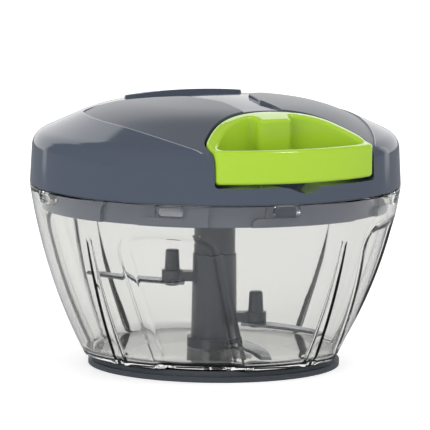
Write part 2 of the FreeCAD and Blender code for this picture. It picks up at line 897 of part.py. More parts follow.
wing_back_x, wing_back_y = spot(dim.petal_edge_radius, dim.petal_back_angle)
handle_back = dim.handle_back_centre - dim.handle_back_radius
petals = []
for side in (1, -1):
    corners = [
        (dim.channel_half_width * side, -handle_back),
        (dim.petal_front_x * side, -dim.petal_front_y),
        (dim.petal_shoulder_x * side, -dim.petal_shoulder_y, dim.petal_front_curve * side),
        (wing_back_x * side, wing_back_y, dim.petal_side_curve * side),
        (dim.channel_mouth * side, -dim.channel_mouth_y),
        (dim.channel_half_width * side, -dim.channel_waist),
    ]
    petals.append(petal(f"wing_{side}", corners, [corners[3][:2], corners[4], corners[5]], dim.petal_round))
pad_x = root(dim.back_petal_radius * dim.back_petal_radius - dim.back_petal_front * dim.back_petal_front)
pad_corners = [(-pad_x, dim.back_petal_front), (pad_x, dim.back_petal_front)]
pad_outline = [(-pad_x, dim.back_petal_front, dim.back_petal_radius), pad_corners[1]]
back_petal = petal("back_petal", pad_outline, pad_corners, dim.back_petal_round)
wings = combine("Part::MultiFuse", "wings", *petals)
petal_plan = combine("Part::MultiFuse", "petal_plan", wings, back_petal)

gloss = dome("gloss", size(0), dim.crown_height, dim.crown_edge, dim.brow_curve, size(0))
satin = dome("satin", dim.petal_sink, dim.petal_crown_height, dim.petal_crown_edge, dim.petal_brow_curve, size(0))
back_satin = dome(
    "back_satin", dim.petal_sink - dim.back_petal_proud, dim.petal_crown_height + dim.back_petal_proud,
    dim.petal_crown_edge + dim.back_petal_proud, dim.petal_brow_curve, size(0),
)
wall_inside = dome(
    "wall_inside", dim.lid_wall, dim.crown_height - dim.lid_wall, dim.crown_edge - dim.lid_wall,
    dim.brow_curve, dim.lid_wall,
)
raised_wings = combine("Part::Common", "raised_wings", wings, satin)
raised_pad = combine("Part::Common", "raised_pad", back_petal, back_satin)
gloss_rest = combine("Part::Cut", "gloss_rest", gloss, petal_plan)
dome_outside = combine("Part::MultiFuse", "dome_outside", gloss_rest, raised_wings, raised_pad)


def recess(label, gap, bottom):
    """The handle's outline grown by a gap, from a height up and out through the front."""
    made = body(label)
    half = dim.handle_half_width + gap
    radius = dim.handle_back_radius + gap
    back = -dim.handle_back_centre + root(radius * radius - half * half)
    front = -(dim.lid_radius + dim.overrun)
    prism = extrude(made, [[
        (-half, front),
        (half, front),
        (half, back),
        (-half, back, radius),
    ]], bottom, dim.petal_crown_height + dim.overrun)
    names = edge_names(prism, lambda edge, middle: is_upright(edge) and abs(middle.y - back.value) < 0.01)
    round_edges(made, prism, names, dim.handle_corner + gap)
    return made


recess_floor_top = dim.handle_bottom - dim.recess_floor_gap
recess_room = recess("recess_room", dim.recess_gap, recess_floor_top)
recess_block = recess("recess_block", dim.recess_gap + dim.lid_wall, recess_floor_top - dim.recess_floor)
dim.reel_flange_radius = handle_back - dim.reel_flange_gap
dim.eyelet_mouth = handle_back - dim.eyelet_mouth_gap
dim.lead_end = handle_back - dim.lead_end_gap
posts = []
for turn in range(4):
    x, y = spot(dim.post_circle, 45 + 90 * turn)
    posts.append(cylinder(f"post_{turn}", x, y, dim.plate_top, dim.post_radius, dim.crown_height))
axle_boss = cylinder("axle_boss", 0, 0, dim.axle_boss_bottom, dim.axle_boss_radius, dim.crown_height)
kept = combine("Part::MultiFuse", "kept_inside", recess_block, axle_boss, *posts)
dome_hollow = combine("Part::Cut", "dome_hollow", wall_inside, kept)
dome_shell = combine("Part::Cut", "dome_shell", dome_outside, dome_hollow)

scoop = body("scoop")
scoop_curve = (dim.scoop_width * dim.scoop_width / 4 + dim.scoop_depth * dim.scoop_depth) / (dim.scoop_depth * 2)
extrude(scoop, [[
    (-(dim.scoop_width / 2), recess_floor_top),
    (dim.scoop_width / 2, recess_floor_top, scoop_curve),
    (dim.scoop_width / 2, recess_floor_top + dim.overrun),
    (-(dim.scoop_width / 2), recess_floor_top + dim.overrun),
]], dim.handle_front_radius - dim.scoop_reach, dim.lid_radius + dim.overrun, role="XZ_Plane")

housing_cuts = [recess_room, scoop]
for turn in range(4):
    x, y = spot(dim.post_circle, 45 + 90 * turn)
    housing_cuts.append(cylinder(
        f"screw_hole_{turn}", x, y, dim.plate_top - dim.overcut, dim.screw_radius + dim.press_clearance,
        dim.plate_bottom + dim.screw_length + dim.seat_gap,
    ))
housing_cuts.append(cylinder(
    "axle_hole", 0, 0, dim.axle_boss_bottom - dim.overcut, dim.axle_radius + dim.press_clearance, dim.axle_top
))
eyelet_hole = body("eyelet_hole")
extrude(eyelet_hole, [(size(0), dim.string_height, dim.eyelet_radius + dim.press_clearance)],
        dim.reel_flange_radius, handle_back + dim.overcut, role="XZ_Plane")
housing_cuts.append(eyelet_hole)
lid_cuts = combine("Part::MultiFuse", "housing_cuts", *housing_cuts)
node(combine("Part::Cut", "lid_housing", dome_shell, lid_cuts))


# Lid base: a plate with a skirt inside the rim, whose grooves take the bowl's lugs

lid_base = node(body("lid_base"))
skirt_inside = dim.skirt_radius - dim.skirt_wall
revolve(lid_base, [
    (dim.bearing_radius + dim.press_clearance, dim.base_collar_bottom),
    (dim.base_collar_radius, dim.base_collar_bottom),
    (dim.base_collar_radius, dim.plate_bottom),
    (skirt_inside, dim.plate_bottom),
    (skirt_inside, dim.skirt_bottom),
    (dim.skirt_radius, dim.skirt_bottom),
    (dim.skirt_radius, dim.seam_height),
    (dim.plate_radius, dim.seam_height),
    (dim.plate_radius, dim.plate_top + dim.plate_lip),
    (dim.plate_radius - dim.plate_lip_width, dim.plate_top + dim.plate_lip),
    (dim.plate_radius - dim.plate_lip_width, dim.plate_top),
    (dim.bearing_radius + dim.press_clearance, dim.plate_top),
])


def sector(inner, outer, start, end):
    """Outline of a ring's sector between two angles."""
    return [
        (*spot(inner, start), -inner),
        spot(outer, start),
        (*spot(outer, end), outer),
        spot(inner, end),
    ]


groove_inner = dim.skirt_radius - dim.groove_depth
for first_lug in (dim.lug_angle, dim.lug_angle + dim.lug_spacing):
    land_start = first_lug + dim.groove_stop - dim.groove_land_length
    for start, end, low in (
        (land_start, first_lug + dim.groove_stop, dim.groove_land),
        (land_start - dim.groove_entry, land_start + 0.01, dim.skirt_bottom - dim.overcut),
    ):
        groove = extrude(
            lid_base, [sector(groove_inner, dim.skirt_radius + dim.overcut, start, end)],
            low, dim.groove_top, kind="PartDesign::Pocket",
        )
        around(lid_base, groove, 4)
screw_x, screw_y = spot(dim.post_circle, 45)
screw_room = extrude(lid_base, [(screw_x, screw_y, dim.screw_radius + dim.press_clearance)],
                     dim.plate_bottom - dim.overcut, dim.plate_top + dim.overcut, kind="PartDesign::Pocket")
around(lid_base, screw_room, 4)

hub_bearing = node(body("hub_bearing"))
bearing_bore = dim.hub_radius + dim.running_clearance
revolve(hub_bearing, [
    (bearing_bore, dim.base_collar_bottom),
    (dim.bearing_radius, dim.base_collar_bottom),
    (dim.bearing_radius, dim.plate_top),
    (dim.bearing_flange_radius, dim.plate_top),
    (dim.bearing_flange_radius, dim.plate_top + dim.bearing_flange),
    (bearing_bore, dim.plate_top + dim.bearing_flange),
])


def screw(label, x, y, seat, radius, head_radius, head, length):
    """A pan-head screw that goes up from its seat."""
    made = body(label)
    turned_screw = revolve(made, [
        (0, -head),
        (head_radius - head / 2, -head),
        (head_radius, -(head / 2), head / 2),
        (head_radius, 0),
        (radius, 0),
        (radius, length - radius),
        (0, length),
    ])
    width = head_radius * dim.screw_slot
    slot = extrude(made, [[
        (-head_radius / 2, -(width / 2)),
        (head_radius / 2, -(width / 2)),
        (head_radius / 2, width / 2),
        (-head_radius / 2, width / 2),
    ], ], -head - dim.overcut, -(head / 2), kind="PartDesign::Pocket")
    around(made, slot, 2, 90)
    made.Placement = Placement(Vector(float(x), float(y), float(seat)), Rotation())
    made.setExpression("Placement.Base.x", size(x).text)
    made.setExpression("Placement.Base.y", size(y).text)
    made.setExpression("Placement.Base.z", size(seat).text)
    return made


lid_screws = []
for turn in range(4):
    x, y = spot(dim.post_circle, 45 + 90 * turn)
    lid_screws.append(screw(f"lid_screw_{turn}", x, y, dim.plate_bottom, dim.screw_radius,
                            dim.screw_head_radius, dim.screw_head, dim.screw_length))
node(group("lid_screws", lid_screws))


# Handle: a flat loop that fills the front of the dome, with a boss for the string

def handle_outline(inset, back_inset):
    """The handle's plan with its sides and front moved in by one inset and its back by another."""
    half = dim.handle_half_width - inset
    back_radius = dim.handle_back_radius - back_inset
    front_radius = dim.handle_front_radius - inset
    back = -dim.handle_back_centre + root(back_radius * back_radius - half * half)
    front = -root(front_radius * front_radius - half * half)
    return [(-half, front), (half, front, front_radius), (half, back), (-half, back, back_radius)]


def handle_prism(label, inset, back_inset, corner):
    made = body(label)
    outline = handle_outline(inset, back_inset)
    prism = extrude(made, [outline], dim.handle_bottom - inset, dim.petal_crown_height)
    front_y = float(outline[0][1])
    for radius, at_front in ((corner, False), (dim.handle_front_corner, True)):
        names = edge_names(prism, lambda edge, middle: is_upright(edge) and "Line" in edge.Curve.TypeId
                           and (abs(middle.y - front_y) < 0.01) == at_front
                           and (at_front or abs(middle.y - float(outline[2][1])) < 0.01))
        prism = round_edges(made, prism, names, radius)
    return made


handle_block = handle_prism("handle_block", size(0), size(0), dim.handle_corner)
handle_hole = handle_prism("handle_hole", dim.handle_wall, dim.handle_back_wall, dim.handle_inner_corner)
handle_dome = body("handle_dome")
crown_sag = dim.crown_height - dim.crown_edge
revolve(handle_dome, [
    (0, dim.seam_height),
    (dim.lid_radius, dim.seam_height),
    (dim.lid_radius, dim.handle_front_top),
    (dim.shoulder_radius, dim.shoulder_height + dim.handle_proud),
    (dim.brow_radius, dim.brow_height + dim.handle_proud),
    (dim.crown_radius, dim.crown_edge + dim.handle_proud, dim.brow_curve),
    (0, dim.crown_height + dim.handle_proud,
     (dim.crown_radius * dim.crown_radius + crown_sag * crown_sag) / (crown_sag * 2)),
])
string_boss = body("string_boss")
boss_end = handle_back + dim.handle_back_wall + dim.handle_boss_depth
boss_prism = extrude(string_boss, [[
    (-dim.handle_boss_half_width, -boss_end),
    (dim.handle_boss_half_width, -boss_end),
    (dim.handle_boss_half_width, -(handle_back + dim.handle_back_wall / 2)),
    (-dim.handle_boss_half_width, -(handle_back + dim.handle_back_wall / 2)),
]], dim.handle_bottom, dim.petal_crown_height)
boss_front = edge_names(boss_prism, lambda edge, middle: is_upright(edge)
                        and abs(middle.y + boss_end.value) < 0.01)
round_edges(string_boss, boss_prism, boss_front, dim.handle_boss_corner)

handle_loop = combine("Part::Cut", "handle_loop", handle_block, handle_hole)
handle_whole = combine("Part::MultiFuse", "handle_whole", handle_loop, string_boss)
handle_topped = combine("Part::Common", "handle_topped", handle_whole, handle_dome)

knot_room = body("knot_room")
cavity_back = handle_back + dim.handle_back_wall + dim.cavity_back
extrude(knot_room, [[
    (-dim.cavity_half_width, -(cavity_back + dim.cavity_length)),
    (dim.cavity_half_width, -(cavity_back + dim.cavity_length)),
    (dim.cavity_half_width, -cavity_back),
    (-dim.cavity_half_width, -cavity_back),
]], dim.handle_bottom - dim.overcut, dim.cavity_top)
string_hole = body("string_hole")
extrude(string_hole, [(size(0), dim.string_height, dim.string_hole_radius)],
        handle_back - dim.overcut * 2, cavity_back + dim.overcut, role="XZ_Plane")
handle_cuts = combine("Part::MultiFuse", "handle_cuts", knot_room, string_hole)
node(combine("Part::Cut", "pull_handle", handle_topped, handle_cuts))

string_stopper = node(body("string_stopper"))
extrude(string_stopper, [
    (size(0), size(0), dim.stopper_radius),
    (size(0), size(0), dim.string_radius + dim.press_clearance),
], size(0), dim.stopper_length)


def along_front(item, height, distance):
    """Lays a body that was made along +Z so that it points to -Y from a distance in front of the axis."""
    item.Placement = Placement(Vector(0, -distance.value, height.value), Rotation(Vector(1, 0, 0), 90))
    item.setExpression("Placement.Base.y", (-distance).text)
    item.setExpression("Placement.Base.z", height.text)
    doc.recompute()


along_front(string_stopper, dim.string_height, cavity_back)


# Reel: the spool on its axle, the wound string, the spring and its cover

spool = node(body("spool"))
axle_bore = dim.axle_radius + dim.running_clearance
chamber = dim.reel_radius - dim.reel_wall
revolve(spool, [
    (axle_bore, dim.reel_bottom),
    (dim.reel_radius, dim.reel_bottom),
    (dim.reel_radius, dim.reel_plate_top - dim.reel_flange),
    (dim.reel_flange_radius, dim.reel_plate_top - dim.reel_flange),
    (dim.reel_flange_radius, dim.reel_plate_top),
    (dim.reel_radius, dim.reel_plate_top),
    (dim.reel_radius, dim.reel_top - dim.reel_flange),
    (dim.reel_flange_radius, dim.reel_top - dim.reel_flange),
    (dim.reel_flange_radius, dim.reel_top),
    (chamber, dim.reel_top),
    (chamber, dim.reel_plate_top),
    (axle_bore, dim.reel_plate_top),
])
hub_seat = dim.hub_cup_bottom + dim.hub_screw_head
hub_screw_hole = extrude(
    spool, [(dim.hub_screw_circle, size(0), dim.hub_screw_radius + dim.press_clearance)],
    dim.reel_bottom - dim.overcut, hub_seat + dim.hub_screw_length, kind="PartDesign::Pocket",
)
around(spool, hub_screw_hole, 3)

spool_cover = node(body("spool_cover"))
revolve(spool_cover, [
    (axle_bore, dim.reel_top),
    (dim.cover_radius, dim.reel_top),
    (dim.cover_radius, dim.reel_top + dim.cover_thickness / 2),
    (dim.cover_radius - dim.cover_thickness / 2, dim.reel_top + dim.cover_thickness),
    (axle_bore, dim.reel_top + dim.cover_thickness),
])

string_winding = node(body("string_winding"))
turns = int(dim.string_turns.value)
line = dim.reel_radius + dim.string_radius
pitch = dim.string_radius * 2
coil_bottom = dim.string_height - pitch * turns / 2
coil = [(dim.reel_radius, coil_bottom), (line, coil_bottom)]
for turn in range(turns):
    coil.append((line, coil_bottom + pitch * (turn + 1), dim.string_radius * 1.02))
coil.append((dim.reel_radius, coil_bottom + pitch * turns))
revolve(string_winding, coil)

spool_axle = node(body("spool_axle"))
groove_low = dim.clip_bottom - dim.press_clearance
groove_high = dim.clip_bottom + dim.clip_thickness + dim.press_clearance
revolve(spool_axle, [
    (0, dim.axle_bottom),
    (dim.axle_radius, dim.axle_bottom),
    (dim.axle_radius, groove_low),
    (dim.clip_groove_radius, groove_low),
    (dim.clip_groove_radius, groove_high),
    (dim.axle_radius, groove_high),
    (dim.axle_radius, dim.axle_top),
    (0, dim.axle_top),
])

retaining_ring = node(body("retaining_ring"))
washer_bottom = dim.clip_bottom + dim.clip_thickness
clip_bore = dim.clip_groove_radius + dim.press_clearance
extrude(retaining_ring, [
    (size(0), size(0), dim.clip_radius),
    (size(0), size(0), clip_bore),
], dim.clip_bottom, washer_bottom)
extrude(retaining_ring, [[
    (0, -(dim.clip_mouth / 2)),
    (dim.clip_radius + dim.overcut, -(dim.clip_mouth / 2)),
    (dim.clip_radius + dim.overcut, dim.clip_mouth / 2),
    (0, dim.clip_mouth / 2),
]], dim.clip_bottom - dim.overcut, washer_bottom + dim.overcut, kind="PartDesign::Pocket")

spool_washer = node(body("spool_washer"))
extrude(spool_washer, [
    (size(0), size(0), dim.washer_radius),
    (size(0), size(0), dim.axle_radius + dim.press_clearance),
], washer_bottom, washer_bottom + dim.washer_thickness)

drive_hub = node(body("drive_hub"))
hub_shoulder = dim.shaft_top + dim.seat_gap
revolve(drive_hub, [
    (0, hub_shoulder),
    (dim.hub_radius, hub_shoulder),
    (dim.hub_radius, dim.hub_cup_bottom),
    (dim.hub_cup_radius, dim.hub_cup_bottom),
    (dim.hub_cup_radius, dim.reel_bottom),
    (dim.hub_cup_inner_radius, dim.reel_bottom),
    (dim.hub_cup_inner_radius, dim.hub_cup_floor),
    (0, dim.hub_cup_floor),
])
hex_tip = hexagon(dim.hex_width - dim.running_clearance * 2, 0)
extrude(drive_hub, [hex_tip], dim.shaft_top - dim.hub_key, hub_shoulder + dim.overcut)
for radius, low, high in (
    (dim.hub_screw_radius + dim.press_clearance, dim.hub_cup_bottom - dim.overcut, dim.reel_bottom + dim.overcut),
    (dim.hub_screw_head_radius + dim.press_clearance, dim.hub_cup_bottom - dim.overcut, hub_seat),
):
    hole = extrude(drive_hub, [(dim.hub_screw_circle, size(0), radius)], low, high, kind="PartDesign::Pocket")
    around(drive_hub, hole, 3)
hub_screws = []
for turn in range(3):
    x, y = spot(dim.hub_screw_circle, 120 * turn)
    hub_screws.append(screw(f"hub_screw_{turn}", x, y, hub_seat, dim.hub_screw_radius,
                            dim.hub_screw_head_radius, dim.hub_screw_head, dim.hub_screw_length))
node(group("hub_screws", hub_screws))

string_eyelet = node(body("string_eyelet"))
string_bore = dim.string_radius + dim.running_clearance
recess_back = handle_back - dim.recess_gap
flange_back = recess_back - dim.lid_wall - dim.eyelet_mouth
mouth = dim.eyelet_mouth_radius
revolve(string_eyelet, [
    (string_bore + mouth, 0, mouth),
    (dim.eyelet_flange_radius, 0),
    (dim.eyelet_flange_radius, flange_back),
    (dim.eyelet_radius, flange_back),
    (dim.eyelet_radius, recess_back - dim.eyelet_mouth),
    (string_bore, recess_back - dim.eyelet_mouth),
    (string_bore, mouth),
])
along_front(string_eyelet, dim.string_height, dim.eyelet_mouth)


# Wound and bent pieces: the spring's flat spiral and the string's way from the spool to the handle

def spring_shape():
    """A flat spiral of half circles whose radius grows by half a pitch each time."""
    start = dim.spring_inner_radius.value
    thickness = dim.spring_thickness.value
    halves = 2 * int(dim.spring_turns.value)
    outer = chamber.value - dim.press_clearance.value
    step = (outer - thickness - start) / halves
    edges = []
    for offset, way in ((0.0, 1), (thickness, -1)):
        side = []
        x = start
        for index in range(halves):
            radius = start + step * (index + 0.5)
            sign = 1 if index % 2 == 0 else -1
            centre = Vector(sign * (start + step * index) - sign * radius, 0, 0)
            first = Vector(centre.x + sign * (radius + offset), 0, 0)
            middle = Vector(centre.x, sign * (radius + offset), 0)
            last = Vector(centre.x - sign * (radius + offset), 0, 0)
            side.append(Part.Arc(first, middle, last).toShape())
        edges.append(side)
    inner, outer_side = edges
    ends = [
        Part.makeLine(inner[0].Vertexes[0].Point, outer_side[0].Vertexes[0].Point),
        Part.makeLine(inner[-1].Vertexes[-1].Point, outer_side[-1].Vertexes[-1].Point),
    ]
    wire = Part.Wire(Part.__sortEdges__(inner + outer_side + ends))
    return Part.Face(wire).extrude(Vector(0, 0, dim.spring_height.value))


power_spring = node(solid_feature("power_spring", spring_shape()))
power_spring.Placement = Placement(Vector(0, 0, dim.reel_plate_top.value), Rotation())


def cord(points, bends):
    """A round cord along straight runs joined by tangent arcs, given by ends and arc middles."""
    edges = []
    here = points[0]
    for start, middle, end in bends:
        edges.append(Part.makeLine(here, start))
        edges.append(Part.Arc(start, middle, end).toShape())
        here = end
    edges.append(Part.makeLine(here, points[1]))
    path = Part.Wire(edges)
    way = (edges[0].Vertexes[-1].Point - points[0]).normalize()
    ring = Part.Wire(Part.makeCircle(dim.string_radius.value, points[0], way))
    return path.makePipeShell([ring], True, False)


def lead_shape():
    """From the wound string, round the eyelet's mouth and into its bore."""
    reel = line.value
    bend = string_bore.value + dim.eyelet_mouth_radius.value
    corner = Vector(-bend, -(dim.eyelet_mouth + dim.eyelet_mouth_radius).value, 0)
    reach = corner.Length
    heading = math.atan2(corner.y, corner.x) + math.asin((reel + bend) / reach)
    way = Vector(math.cos(heading), math.sin(heading), 0)
    left = Vector(-way.y, way.x, 0)
    touch = corner + left * bend
    run = math.sqrt(reach * reach - (reel + bend) ** 2)
    gone = math.sqrt(dim.lead_start.value ** 2 - reel * reel)
    begin = touch - way * (run - gone)
    half_turn = (math.atan2(left.y, left.x)) / 2
    middle = corner + Vector(math.cos(half_turn), math.sin(half_turn), 0) * bend
    level = Vector(0, 0, dim.string_height.value)
    bend_end = corner + Vector(bend, 0, 0)
    end = Vector(0, -dim.lead_end.value, 0)
    return cord([begin + level, end + level], [(touch + level, middle + level, bend_end + level)])


node(solid_feature("string_lead", lead_shape()))

string_pull = node(body("string_pull"))
pull_start = dim.lead_end + dim.seat_gap
extrude(string_pull, [(size(0), size(0), dim.string_radius)], size(0),
        cavity_back + dim.stopper_length - pull_start)
along_front(string_pull, dim.string_height, pull_start)


# Every feature has to be sound before its sub-part is written out

doc.recompute()
for item in doc.Objects:
    if "Invalid" in item.State or "Error" in item.State:
        raise RuntimeError(f"{item.Label} is {item.State}")
for item in NODES:
    if item.Shape.isNull() or not item.Shape.isValid():
        raise RuntimeError(f"{item.Label} has no sound shape")
    item.Shape.exportStep(os.path.join("parts", item.Label + ".step"))
    box = item.Shape.BoundBox
    print(f"{item.Label}: {len(item.Shape.Solids)} solids, volume {item.Shape.Volume:.1f}, "
          f"x {box.XMin:.2f} {box.XMax:.2f}, y {box.YMin:.2f} {box.YMax:.2f}, z {box.ZMin:.2f} {box.ZMax:.2f}")
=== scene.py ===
# %% [markdown]
# # A pull-string food chopper
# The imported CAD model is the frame. The clear bowl, the domed lid and the loop handle are rebuilt
# here as fine meshes that fill the same space, and every piece gets a material of its own.
# Units are metres, with +Z up and the handle's pull towards -Y.

# %%
import math

import bmesh
import bpy
import numpy as np
from mathutils import Matrix, Vector
from mathutils.geometry import delaunay_2d_cdt


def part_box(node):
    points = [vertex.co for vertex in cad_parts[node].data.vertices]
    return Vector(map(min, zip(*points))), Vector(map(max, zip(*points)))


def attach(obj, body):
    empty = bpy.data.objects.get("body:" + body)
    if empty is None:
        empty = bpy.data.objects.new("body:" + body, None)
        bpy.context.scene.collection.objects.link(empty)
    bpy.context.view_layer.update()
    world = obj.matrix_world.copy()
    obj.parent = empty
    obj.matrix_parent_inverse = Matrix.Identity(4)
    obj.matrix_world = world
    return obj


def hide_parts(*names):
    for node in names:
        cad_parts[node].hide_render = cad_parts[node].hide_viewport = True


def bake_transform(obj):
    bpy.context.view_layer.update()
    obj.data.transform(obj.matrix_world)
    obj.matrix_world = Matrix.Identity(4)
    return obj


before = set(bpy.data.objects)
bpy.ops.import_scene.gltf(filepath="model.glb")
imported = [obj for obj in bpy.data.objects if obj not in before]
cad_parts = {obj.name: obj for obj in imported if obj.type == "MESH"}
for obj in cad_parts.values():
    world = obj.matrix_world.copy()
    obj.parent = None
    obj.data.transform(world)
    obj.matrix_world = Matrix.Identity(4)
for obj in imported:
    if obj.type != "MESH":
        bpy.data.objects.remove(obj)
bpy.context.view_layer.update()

MM = 0.001

# %% [markdown]
# ## Profiles
# A profile is a run of (radius, height) points in millimetres. A third number on a point is the radius
# of the arc that leads up to it, positive where the arc's centre lies to the left of the way.

# %%
RING_HEIGHT = 3.8
RIM_RADIUS = 65.0
RIM_HEIGHT = 63.4
RIM_EDGE = RIM_HEIGHT - 0.4
CURVE_RADIUS = 196.8
CURVE_HEIGHT = 92.9
BOWL_WALL = 2.0
FLOOR_TOP = RING_HEIGHT + 2.0

SEAM_HEIGHT = 63.75
LID_WALL = 2.2
CROWN = (93.7, 92.4, 53.0)
PETAL_CROWN = (95.1, 93.1, 58.0)
PETAL_SINK = 0.45
PAD_RISE = 0.6
PAD_CROWN = (PETAL_CROWN[0] + PAD_RISE, PETAL_CROWN[1] + PAD_RISE, PETAL_CROWN[2])
CROWN_RADIUS = 30.0
BROW = (47.5, 88.4)
SHOULDER = (60.2, 82.6)
WALL_TOP = (64.3, 77.3)
SHOULDER_CURVE = 6.5

HANDLE_BACK_CENTRE = 71.2
HANDLE_BACK_RADIUS = 37.9
HANDLE_HALF_WIDTH = 30.4
HANDLE_FRONT_RADIUS = 64.8
HANDLE_FRONT_TOP = 81.9
HANDLE_BOTTOM = 70.6
HANDLE_WALL = 3.1
HANDLE_BACK_WALL = 4.4
HANDLE_RISE = 0.1
HANDLE_BACK = HANDLE_BACK_CENTRE - HANDLE_BACK_RADIUS
RECESS_GAP = 0.6
RECESS_FLOOR = HANDLE_BOTTOM - 1.1
STRING_HEIGHT = 80.0
STRING_RADIUS = 0.9
ROUNDING_STEP = 0.6


def on_circle(radius, angle, centre=(0.0, 0.0)):
    """A point on a circle, at an angle in radians."""
    return centre[0] + radius * math.cos(angle), centre[1] + radius * math.sin(angle)


def spot(radius, degrees):
    return on_circle(radius, math.radians(degrees))


def arc_centre(start, end, radius):
    """Centre of the arc from start to end, left of the way along it where the radius is positive."""
    (x0, y0), (x1, y1) = start, end
    chord = math.hypot(x1 - x0, y1 - y0)
    reach = math.copysign(math.sqrt(max(radius * radius - chord * chord / 4, 0.0)), radius)
    return (x0 + x1) / 2 - (y1 - y0) / chord * reach, (y0 + y1) / 2 + (x1 - x0) / chord * reach


def trace(corners, spacing, closed=False):
    """Points along a run of corners, about evenly spaced along its lines and arcs."""
    points = [] if closed else [tuple(corners[0][:2])]
    for index in range(0 if closed else 1, len(corners)):
        start, end = corners[index - 1][:2], corners[index][:2]
        if len(corners[index]) == 2:
            steps = max(1, round(math.dist(start, end) / spacing))
            for step in range(1, steps + 1):
                share = step / steps
                points.append(tuple(a + (b - a) * share for a, b in zip(start, end)))
            continue
        radius = corners[index][2]
        way = math.copysign(1, radius)
        centre = arc_centre(start, end, radius)
        first = math.atan2(start[1] - centre[1], start[0] - centre[0])
        last = math.atan2(end[1] - centre[1], end[0] - centre[0])
        sweep = way * (way * (last - first) % (2 * math.pi))
        steps = max(2, round(abs(sweep * radius) / spacing))
        points += [on_circle(abs(radius), first + sweep * step / steps, centre)
                   for step in range(1, steps + 1)]
    return points


def rounded(points, corners, radius):
    """A closed outline whose corners near the given points are rounded by arcs."""
    outline = np.array(points)
    for corner in corners:
        outline = np.roll(outline, -int(np.argmin(np.hypot(*(outline - corner).T))), 0)
        tip = outline[0]
        before, after = outline[-1] - tip, outline[1] - tip
        before /= np.hypot(*before)
        after /= np.hypot(*after)
        half = math.acos(np.clip(before @ after, -1, 1)) / 2
        cut = radius / math.tan(half)
        middle = before + after
        centre = tip + middle / np.hypot(*middle) * radius / math.sin(half)
        start, end = tip + before * cut - centre, tip + after * cut - centre
        first = math.atan2(start[1], start[0])
        sweep = (math.atan2(end[1], end[0]) - first + math.pi) % (2 * math.pi) - math.pi
        steps = max(4, round(abs(sweep) * radius / ROUNDING_STEP))
        arc = [on_circle(radius, first + sweep * step / steps, centre) for step in range(steps + 1)]
        outline = np.concatenate([arc, outline[np.hypot(*(outline - tip).T) > cut]])
    return outline


def inset(outline, distance):
    """A closed outline moved inwards, which needs its points in counter-clockwise order."""
    outline = np.asarray(outline, float)
    ahead = np.roll(outline, -1, 0) - outline
    behind = outline - np.roll(outline, 1, 0)
    ahead /= np.hypot(*ahead.T)[:, None]
    behind /= np.hypot(*behind.T)[:, None]
    way = ahead + behind
    way /= np.hypot(*way.T)[:, None]
    lean = np.clip((ahead * way).sum(1), 0.3, 1)
    return outline + np.stack([-way[:, 1], way[:, 0]], 1) * (distance / lean)[:, None]


def counter_clockwise(outline):
    outline = np.asarray(outline, float)
    x, y = outline.T
    area = (x * np.roll(y, -1) - np.roll(x, -1) * y).sum()
    return outline if area > 0 else outline[::-1]


def within(points, outline):
    """True for each point inside a closed outline."""
    x, y = np.asarray(points, float).T
    inside = np.zeros(len(x), bool)
    for (x0, y0), (x1, y1) in zip(outline, np.roll(outline, -1, 0)):
        if y0 == y1:
            continue
        crosses = (y0 > y) != (y1 > y)
        inside ^= crosses & (x < (x1 - x0) * (y - y0) / (y1 - y0) + x0)
    return inside


def edge_distance(points, outline):
    """Distance of points from a closed outline, positive inside it."""
    points = np.asarray(points, float)
    nearest = np.full(len(points), np.inf)
    for start, end in zip(outline, np.roll(outline, -1, 0)):
        way = end - start
        share = np.clip((points - start) @ way / (way @ way), 0, 1)
        nearest = np.minimum(nearest, np.hypot(*(points - start - share[:, None] * way).T))
    return np.where(within(points, outline), nearest, -nearest)


def ease(share):
    """A smooth step from 0 to 1."""
    share = np.clip(share, 0, 1)
    return share * share * (3 - 2 * share)


def open_run(ring, low):
    """The part of a closed ring above a height, as an open run."""
    keep = ring[:, 1] > low
    first = int(np.argmax(keep & ~np.roll(keep, 1)))
    return np.roll(ring, -first, 0)[np.roll(keep, -first)]


# %% [markdown]
# ## Mesh makers

# %%
def new_object(name, data):
    made = bpy.data.objects.new(name, data)
    bpy.context.scene.collection.objects.link(made)
    return made


def from_bmesh(name, work, smooth_angle=30.0):
    """A smooth-shaded object from a bmesh whose edges past an angle stay sharp."""
    bmesh.ops.recalc_face_normals(work, faces=work.faces)
    mesh = bpy.data.meshes.new(name)
    work.to_mesh(mesh)
    work.free()
    shade(mesh, smooth_angle)
    return new_object(name, mesh)


def shade(mesh, angle):
    """Smooth shading, with edges sharper than an angle kept."""
    mesh.shade_smooth()
    mesh.set_sharp_from_angle(angle=math.radians(angle))


def weld(work):
    """Joins doubled vertices."""
    bmesh.ops.remove_doubles(work, verts=work.verts, dist=2e-6)


def triangulate(points, loops, runs=()):
    """Constrained triangles over points, open runs and closed loops, all in a plane: (points, triangles)."""
    coordinates = [Vector(point) for point in points]
    lines = []
    for line, closed in [(run, False) for run in runs] + [(loop, True) for loop in loops]:
        first, count = len(coordinates), len(line)
        coordinates += [Vector(point) for point in line]
        lines += [(first + index, first + (index + 1) % count) for index in range(count - 1 + closed)]
    result = delaunay_2d_cdt(coordinates, lines, [], 0, 1e-6)
    return np.array([tuple(point) for point in result[0]]), np.array(result[2])


def hexagonal(low, high, spacing):
    """Points of a triangular grid over a rectangle."""
    climb = spacing * 0.866
    rows = int((high[1] - low[1]) / climb) + 1
    columns = int((high[0] - low[0]) / spacing) + 1
    return np.array([(low[0] + (column + 0.5 * (row % 2)) * spacing, low[1] + row * climb)
                     for row in range(rows) for column in range(columns)])


def clear_of(grid, points, distance):
    """Those points of a grid that keep a distance from all the given ones."""
    keep = np.ones(len(grid), bool)
    for point in points:
        keep &= np.hypot(*(grid - point).T) > distance
    return grid[keep]


def raised(plan, height):
    """Points of a plan at one height, or at a height each."""
    return np.column_stack([plan, np.broadcast_to(height, len(plan))])


